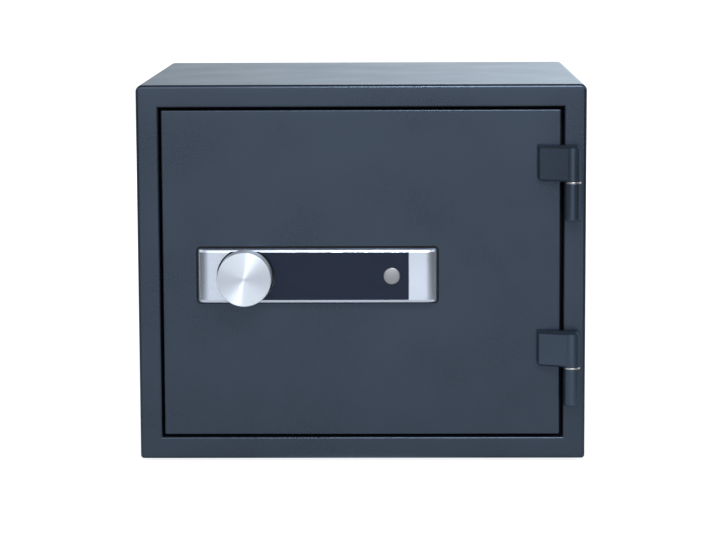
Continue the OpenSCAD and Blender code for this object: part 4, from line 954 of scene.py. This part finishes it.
t = np.linspace(0, np.pi, 13)
bulb = [(0.42 - 0.42 * np.cos(a), 0.35 + 0.65 * np.sin(a)) for a in t]
band("door_seal", "seal_bulb", 8.0, [(0, 0)] + bulb + [(0.84, 0.22), (1, 0.16), (1, 0)])
ridge = [(0.5 - 0.5 * np.cos(a), 0.7 + 0.3 * np.sin(a)) for a in t]
band("fire_strip", "swelling_strip", 4.0, [(0, 0)] + ridge + [(1, 0)])

# %% [markdown]
# ## Hinges
# Each hinge lifts off: a knuckle welded to the frame carries the pin, and the door's leaf has
# the other knuckle. The leaf swells from a thin free edge to the knuckle and is bevelled along
# its front edges, so it is a softened copy of its node. What is turned is turned again here, with
# enough sides to be round, and the weld is a bead of small overlapping ripples.

# %% Hinge leaves
for level in ("upper", "lower"):
    softened(level + "_hinge_leaf", 0.45, 3, name=level + "_leaf")

# %% Welds
HINGE_X, HINGE_PROUD = 193.0, 10.0
WEB_HALF = 4.4
BEAD_RISE, BEAD_PITCH, BEAD_START = 0.5995, 2.4, 0.72


def weld_foot(low, high):
    """The web that ties a knuckle to the frame, with a rippled bead along each side.

    Its half width is that of the web plus a bead that swells and shrinks once every pitch along
    the height; the bead grows from nothing at its start to its full size at the frame.
    """
    z = np.linspace(low, high, 49)
    ends = np.minimum(1, np.minimum(z - low, high - z) / 1.5)
    ripple = BEAD_RISE * ends * (0.75 + 0.25 * np.cos(2 * np.pi * z / BEAD_PITCH))
    shares = np.linspace(0, 1, 7)
    depth = front_y - HINGE_PROUD * (1 - shares)
    bead = np.maximum(0, (shares - BEAD_START) / (1 - BEAD_START)) ** 1.5
    reach = WEB_HALF + bead[None, :] * ripple[:, None]
    left = np.stack([HINGE_X - reach, depth + 0 * reach, z[:, None] + 0 * reach], -1)
    right = left[:, ::-1] * (-1, 1, 1) + (2 * HINGE_X, 0, 0)
    points = np.concatenate([left, right], 1)
    rows, columns = points.shape[:2]
    faces = grid_faces(rows, columns, False, True).tolist()
    faces += [list(range(columns)), [(rows - 1) * columns + i for i in range(columns)]]
    return points.reshape(-1, 3), faces


print("a ripple every", BEAD_PITCH, "mm of weld")

# %% Knuckles, pins and washers
KNUCKLE_R, PIN_R, PIN_DEPTH, PIN_PLAY = 7.75, 4.0, 20.0, 0.02
WELD_FOOT, WELD_HEAD = 3.0, 0.8
hinge_at = (HINGE_X, front_y - HINGE_PROUD, 0)

for level in ("upper", "lower"):
    low, high = span(level + "_frame_knuckle")
    foot, head = low[2], high[2]
    barrel = eased([(0, foot), (KNUCKLE_R, foot), (KNUCKLE_R, head), (PIN_R, head),
                    (PIN_R, head - PIN_DEPTH), (0, head - PIN_DEPTH)], [0, 1.6, 0.4, 0.2, 0, 0])
    shapes = [turned(barrel, hinge_at, "Z"), weld_foot(foot + WELD_FOOT, head - WELD_HEAD)]
    dress(solid(level + "_knuckle", *joined(shapes)), level + "_frame_knuckle")

    low, high = span(level + "_hinge_pin")
    lathed(level + "_pin", level + "_hinge_pin", pipe(low[2], high[2], PIN_R), [0, 0.6, 1.6, 0], [hinge_at])

    low, high = span(level + "_hinge_washer")
    ring = pipe(low[2], high[2], half(level + "_hinge_washer", "X"), PIN_R + PIN_PLAY)
    lathed(level + "_washer", level + "_hinge_washer", ring, [0.2, 0.5, 0.5, 0.2], [hinge_at], closed=True)

# %% [markdown]
# ## The lock case
# The silver case is one casting: its ends curve back to the door, its long edges are rounded and
# then bevelled, and a round well for the knob runs into the opening for the window. The node is
# the rough casting. It is trimmed to a cushion, a surface whose depth behind the case's front is
# the sum of two drops: one for the distance from an end, which follows an ellipse, and one for
# the distance from a long edge, which follows an eased profile.

# %% A body between two surfaces
def between(upper, lower):
    """The body between two grids of places that lie over one another, with a skirt round it."""
    rows, columns = upper.shape[:2]
    count = rows * columns
    quads = grid_faces(rows, columns)
    last = (rows - 1) * columns
    rim = np.concatenate([np.arange(columns), np.arange(1, rows) * columns + columns - 1,
                          last + np.arange(columns - 2, -1, -1), np.arange(rows - 2, 0, -1) * columns])
    after = np.roll(rim, -1)
    skirt = np.stack([rim, after, after + count, rim + count], 1)
    faces = np.concatenate([quads, quads[:, ::-1] + count, skirt])
    return np.concatenate([upper.reshape(-1, 3), lower.reshape(-1, 3)]), faces.tolist()


print("two grids can be made into one body")

# %% Lock case
END_CURVE, END_DROP = 11.5, 7.4
RIM_FLAT, RIM_SLOPE, RIM_ROUND, RIM_REACH = 2.9, 0.55, 2.4, 9
SKIN, CUT_BEHIND = 0.02, 6
CASE_BEVEL, CASE_SHARP = 0.22, 40
bezel_low, bezel_high = span("bezel")

angle = np.radians(np.linspace(0, 90, 17))
near_end, end_drop = END_CURVE * (1 - np.cos(angle)), END_DROP * (1 - np.sin(angle))
case_gx = np.concatenate([bezel_low[0] + near_end, bezel_high[0] - near_end[::-1]])
case_dx = np.concatenate([end_drop, end_drop[::-1]])
rim = [(0, RIM_REACH), (0, RIM_SLOPE * RIM_FLAT), (RIM_FLAT, 0), (RIM_REACH, 0)]
rim = eased(rim, [0, RIM_ROUND, 0.5, 0], 8)[1:]
case_gz = np.concatenate([bezel_low[2] + rim[:, 0], bezel_high[2] - rim[::-1, 0]])
case_dz = np.concatenate([rim[:, 1], rim[::-1, 1]])
gx, gz = np.meshgrid(case_gx, case_gz, indexing="ij")
sunk = bezel_low[1] + SKIN + case_dx[:, None] + case_dz[None, :]
rear = 0 * sunk + bezel_high[1] + CUT_BEHIND
cushion = between(np.stack([gx, sunk, gz], -1), np.stack([gx, rear, gz], -1))
lock_case = bored(merged_copy("bezel", "lock_case"), [cushion], "INTERSECT")
dress(edged(lock_case, CASE_BEVEL, 2, CASE_SHARP), "bezel")

# %% [markdown]
# ## Window and gasket
# The window is a plain pane with a broken edge. The gasket under the case is a soft, near-black
# strip put where the case casts shade: it draws a painted shade line all round.

# %% Gasket and window
softened("touch_window", 0.25, 3, name="window_pane")

# The gasket is painted shade: a near-black strip that draws the dark line round the lock case.
GASKET_BAND, GASKET_CORNER = 8.0, 3.9
gasket_low, gasket_high = span("bezel_gasket")
gasket_near, gasket_far = gasket_low[1] - front_y, gasket_high[1] - front_y
lip = eased([(0, gasket_far), (0, gasket_near), (GASKET_BAND, gasket_near), (GASKET_BAND, gasket_far)],
            [0, 0.7, 0.3, 0])
shape = swept_frame((gasket_low, gasket_high), (GASKET_CORNER,) * 4, lip)
dress(solid("shade_line_gasket", *shape), "bezel_gasket")

# %% [markdown]
# ## The knob
# The cap is spun from aluminium sheet over a black core: a flat face, a small round shoulder and
# a straight skirt. Its profile is turned with many sides, and a UV map is laid on it so that one
# axis runs round the knob. The shader's tangent follows that axis.

# %% A map round the knob
MAP_SPAN = 50


def spin_map(piece, centre):
    """A UV map whose first axis is the angle round the knob and whose second is the radius.

    Each corner of a face takes its angle from the face's own middle, within half a turn, so no
    face spans the seam.
    """
    mesh = piece.data
    centre = np.array(centre) * MM
    places = np.zeros(len(mesh.vertices) * 3)
    mesh.vertices.foreach_get("co", places)
    places = places.reshape(-1, 3) - centre
    corner = np.zeros(len(mesh.loops), int)
    mesh.loops.foreach_get("vertex_index", corner)
    middles = np.array([polygon.center for polygon in mesh.polygons]) - centre
    sizes = np.array([polygon.loop_total for polygon in mesh.polygons])
    owner = np.repeat(np.arange(len(sizes)), sizes)
    base = np.arctan2(middles[:, 2], middles[:, 0])[owner]
    own = np.arctan2(places[corner, 2], places[corner, 0])
    radius = np.hypot(places[corner, 0], places[corner, 2])
    own = np.where(radius < 1e-6, base, own)
    angle = base + (own - base + np.pi) % (2 * np.pi) - np.pi
    uv = np.stack([angle / (2 * np.pi), (radius + places[corner, 1]) / (MAP_SPAN * MM)], 1)
    layer = mesh.uv_layers.new(name="turned")
    layer.data.foreach_set("uv", uv.ravel())


print("a turned piece can be mapped round its axis")

# %% Knob cap
CAP_FACE_T, CAP_SKIRT_T, CAP_SHOULDER = 1.5, 1.15, 0.9
KNOB_SIDES = 144
KNOB_RINGS = (0, 3, 8, 14, 20)

knob_at = (knob_x, 0, lock_z)
front, back = (corner[1] for corner in span("knob_cap"))
face_rings = [(r, front) for r in KNOB_RINGS]
cap = np.array(face_rings + list(eased(
    [face_rings[-1], (knob_r, front), (knob_r, back), (knob_r - CAP_SKIRT_T, back),
     (knob_r - CAP_SKIRT_T, front + CAP_FACE_T), (0, front + CAP_FACE_T)],
    [0, CAP_SHOULDER, 0.35, 0.35, 0.3, 0], 6))[1:])
cap_piece = solid("knob_spinning", *turned(cap, knob_at, "Y", KNOB_SIDES))
spin_map(cap_piece, knob_at)
dress(cap_piece, "knob_cap")

# %% Core and collar
CORE_BORE_R, CORE_WEB = 4.0, 8.0
core_r = half("knob_core", "X")
front, back = (corner[1] for corner in span("knob_core"))
core = [(0, front), (core_r, front), (core_r, back), (CORE_BORE_R, back), (CORE_BORE_R, front + CORE_WEB),
        (0, front + CORE_WEB)]
lathed("knob_filling", "knob_core", core, [0, 0.2, 0.6, 0.4, 0, 0], [knob_at], "Y")
# The collar's near-black plastic is partly painted shade in the well round the knob.
softened("knob_collar", 0.2, name="well_collar")

# %% [markdown]
# ## Badge and override lock
# The round badge is a plain disc with a slightly domed face and a broken edge. It plugs the
# window's hole and hides the override lock, whose barrel and keyed plug lie behind it.

# %% Badge
BADGE_DOME, BADGE_FACE, BADGE_T, STUB_PLAY = 0.35, 0.86, 1.3, 0.1
stub_r = barrel_r - STUB_PLAY
front, back = (corner[1] for corner in span("badge_cap"))
seat = front + BADGE_T
dome = [(badge_r * BADGE_FACE * share, front + BADGE_DOME * share ** 2) for share in np.linspace(0, 1, 9)]
edge = eased([dome[-1], (badge_r, front + BADGE_DOME + 0.2), (badge_r, seat), (stub_r, seat),
              (stub_r, back), (0, back)], [0, 0.8, 0.15, 0, 0.2, 0])
badge = solid("plain_badge", *turned(dome + list(edge)[1:], (badge_x, 0, lock_z), "Y", 96))
dress(badge, "badge_cap", sharp=50)
softened("override_barrel", 0.2)
softened("override_plug", 0.15)
softened("override_cam", 0.2)

# %% [markdown]
# ## Bolts, bushes and dogs
# The locking bolts are ground steel bars with a broken nose. They slide in brass bushes on the
# door's free side, and two fixed dogs do their work on the hinge side.

# %% Bolts
SPIGOT_R, SPIGOT_L = 3.0, 8.0
BUSH_PLAY = 0.05
bolts_low, bolts_high = span("locking_bolts")
bolt_r, bolt_y = half("locking_bolts", "Y"), middle("locking_bolts", "Y")
bolt_places = [(0, bolt_y, z) for z in (bolts_low[2] + bolt_r, bolts_high[2] - bolt_r)]
tip, tail = bolts_low[0], bolts_high[0]
neck = tail - SPIGOT_L
bar = [(0, tip), (bolt_r, tip), (bolt_r, neck), (SPIGOT_R, neck), (SPIGOT_R, tail), (0, tail)]
lathed("sliding_bolts", "locking_bolts", bar, [0, 1.1, 0.3, 0, 0.3, 0], bolt_places, "X")

left, right = (corner[0] for corner in span("bolt_bushes"))
ring = pipe(left, right, half("bolt_bushes", "Y"), bolt_r + BUSH_PLAY)
lathed("brass_bushes", "bolt_bushes", ring, [0.4, 0.5, 0.3, 0.2], bolt_places, "X", closed=True)
softened("hinge_side_dogs", 0.6, 3, name="fixed_dogs")

# %% [markdown]
# ## Feet and sleeves
# Four rubber feet stand under the casing, each with a shallow dish in its sole. The anchor
# sleeves are plain tubes. All six are turned, so the same lathe makes them.

# %% Feet and sleeves
FOOT_R = 12.0
DISH_R, DISH_D, DISH_SLOPE = 5.0, 0.5, 0.6
feet_low, feet_high = span("rubber_feet")
foot_xs = (feet_low[0] + FOOT_R, feet_high[0] - FOOT_R)
foot_ys = (feet_low[1] + FOOT_R, feet_high[1] - FOOT_R)
sole, root = feet_low[2], feet_high[2]
foot = [(0, sole + DISH_D), (DISH_R, sole + DISH_D), (DISH_R + DISH_SLOPE, sole), (FOOT_R - 0.8, sole),
        (FOOT_R, sole + 1), (FOOT_R, root), (0, root)]
places = [(x, y, 0) for x in foot_xs for y in foot_ys]
lathed("sole_feet", "rubber_feet", foot, [0, 0.2, 0.2, 0.4, 0.6, 0, 0], places, around=56)

tube = pipe(sleeve_low[2], sleeve_high[2], sleeve_r, sleeve_r - SHEET_T)
lathed("anchor_tubes", "anchor_sleeves", tube, [0.3] * 4, [(x, sleeve_y, 0) for x in sleeve_xs], closed=True)

# %% [markdown]
# ## The felt mat
# The mat lies on the compartment's floor. Cut felt is never quite flat, so its upper side is a
# grid whose height rolls by a fraction of a millimetre and drops over its cut edge.

# %% Mat
MAT_EDGE, MAT_HOLE_R = 1.2, 10.5
MAT_SINK, MAT_DROP, MAT_ROLL, ROLL_START = 0.18, 0.7, 0.10, 8
mat_low, mat_high = span("floor_mat")


def mat_side(low, high, count):
    """Places along one side of the mat, close together at both cut edges."""
    ends = MAT_EDGE * np.array([0, 0.25, 0.6, 1.0])
    return np.concatenate([low + ends, np.linspace(low, high, count)[1:-1], high - ends[::-1]])


across, deep = mat_side(mat_low[0], mat_high[0], 70), mat_side(mat_low[1], mat_high[1], 56)
gx, gy = np.meshgrid(across, deep, indexing="ij")
rim = np.minimum.reduce([gx - mat_low[0], mat_high[0] - gx, gy - mat_low[1], mat_high[1] - gy])
drop = MAT_DROP * (1 - np.sqrt(np.clip(1 - (1 - np.clip(rim / MAT_EDGE, 0, 1)) ** 2, 0, 1)))
roll = MAT_ROLL * (np.sin(gx / 23 + 1.3) * np.cos(gy / 17) + 0.6 * np.sin(gx / 9 + gy / 13))
top = mat_high[2] - MAT_SINK - drop + roll * np.clip(rim / ROLL_START, 0, 1)
upper = np.stack([gx, gy, top], -1)
lower = np.stack([gx, gy, 0 * top + mat_low[2]], -1)
mat = solid("felt_mat", *between(upper, lower))
drill = pipe(mat_low[2] - DRILL_OVER, mat_high[2] + DRILL_OVER, MAT_HOLE_R)
bored(mat, [turned(drill, (x, sleeve_y, 0), "Z", 56) for x in sleeve_xs])
dress(mat, "floor_mat")

# %% [markdown]
# ## What the open door shows
# The moulded doorway, the liner, the shelf and its clips, the rear cover with its hatch, and the
# works behind it have the right shapes in the frame. Each gets softened edges of its own width:
# wide on mouldings, narrow on cut sheet.

# %% Softened nodes
SOFT_EDGES = {
    "jamb_frame": 0.6, "inner_liner": 0.5, "bolt_keepers": 0.3, "dog_keepers": 0.3, "shelf": 0.5,
    "shelf_clips": 0.3, "inner_cover": 0.6, "cover_screws": 0.15, "lock_chassis": 0.25,
    "carrier_guides": 0.2, "lock_motor": 0.4, "battery_box": 0.3, "control_board": 0.15,
    "spindle_sleeve": 0.2, "touch_board": 0.15, "spindle": 0.2, "drive_gear": 0.1,
    "spindle_clip": 0.1, "bolt_carrier": 0.2, "motor_pinion": 0.1, "battery_hatch": 0.35,
    "bezel_screws": 0.2, "door_back_plate": 0.2,
}
for node, width in SOFT_EDGES.items():
    softened(node, width)

# %% [markdown]
# ## Battery cells
# Four cells stand side by side behind the hatch. Each is turned: a crimped foot, a straight
# sleeve, a rounded shoulder and a button on top.

# %% Cells
CELL_R, CELL_PITCH, CELL_COUNT, BUTTON_R, BUTTON_H = 7.25, 14.9, 4, 2.7, 1.5
foot, crown = cell_low[2], cell_high[2]
shoulder = crown - BUTTON_H
profile = [(0, foot), (CELL_R, foot), (CELL_R, shoulder), (BUTTON_R, shoulder), (BUTTON_R, crown), (0, crown)]
places = [(cell_low[0] + CELL_R + i * CELL_PITCH, cell_high[1] - CELL_R, 0) for i in range(CELL_COUNT)]
lathed("round_cells", "battery_cells", profile, [0, 0.8, 1.2, 0.3, 0.5, 0], places, around=48)

# %% [markdown]
# ## What stays as it is
# The plaster fills and the wiring harness are hidden behind sheet. Their nodes stay, and only
# take the finish of their slot.

# %% Carried-over nodes
kept = [node for node in body_with if not frame["nodes"][node].hide_render]
for node in kept:
    mesh = frame["nodes"][node].data
    mesh.materials.clear()
    mesh.materials.append(finishes[slot_with[node]])
print("nodes kept as they are:", kept)

# %% [markdown]
# ## Measuring the result
# The dressed safe must fill the same box as the CAD model.

# %% Sizes
boxes = {"cad": cad_box, "scene": [list(corner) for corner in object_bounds()]}
grown = (np.array(boxes["scene"]) - np.array(boxes["cad"])) / MM
print("the scene's box differs by, in mm:", np.round(grown, 2).tolist())
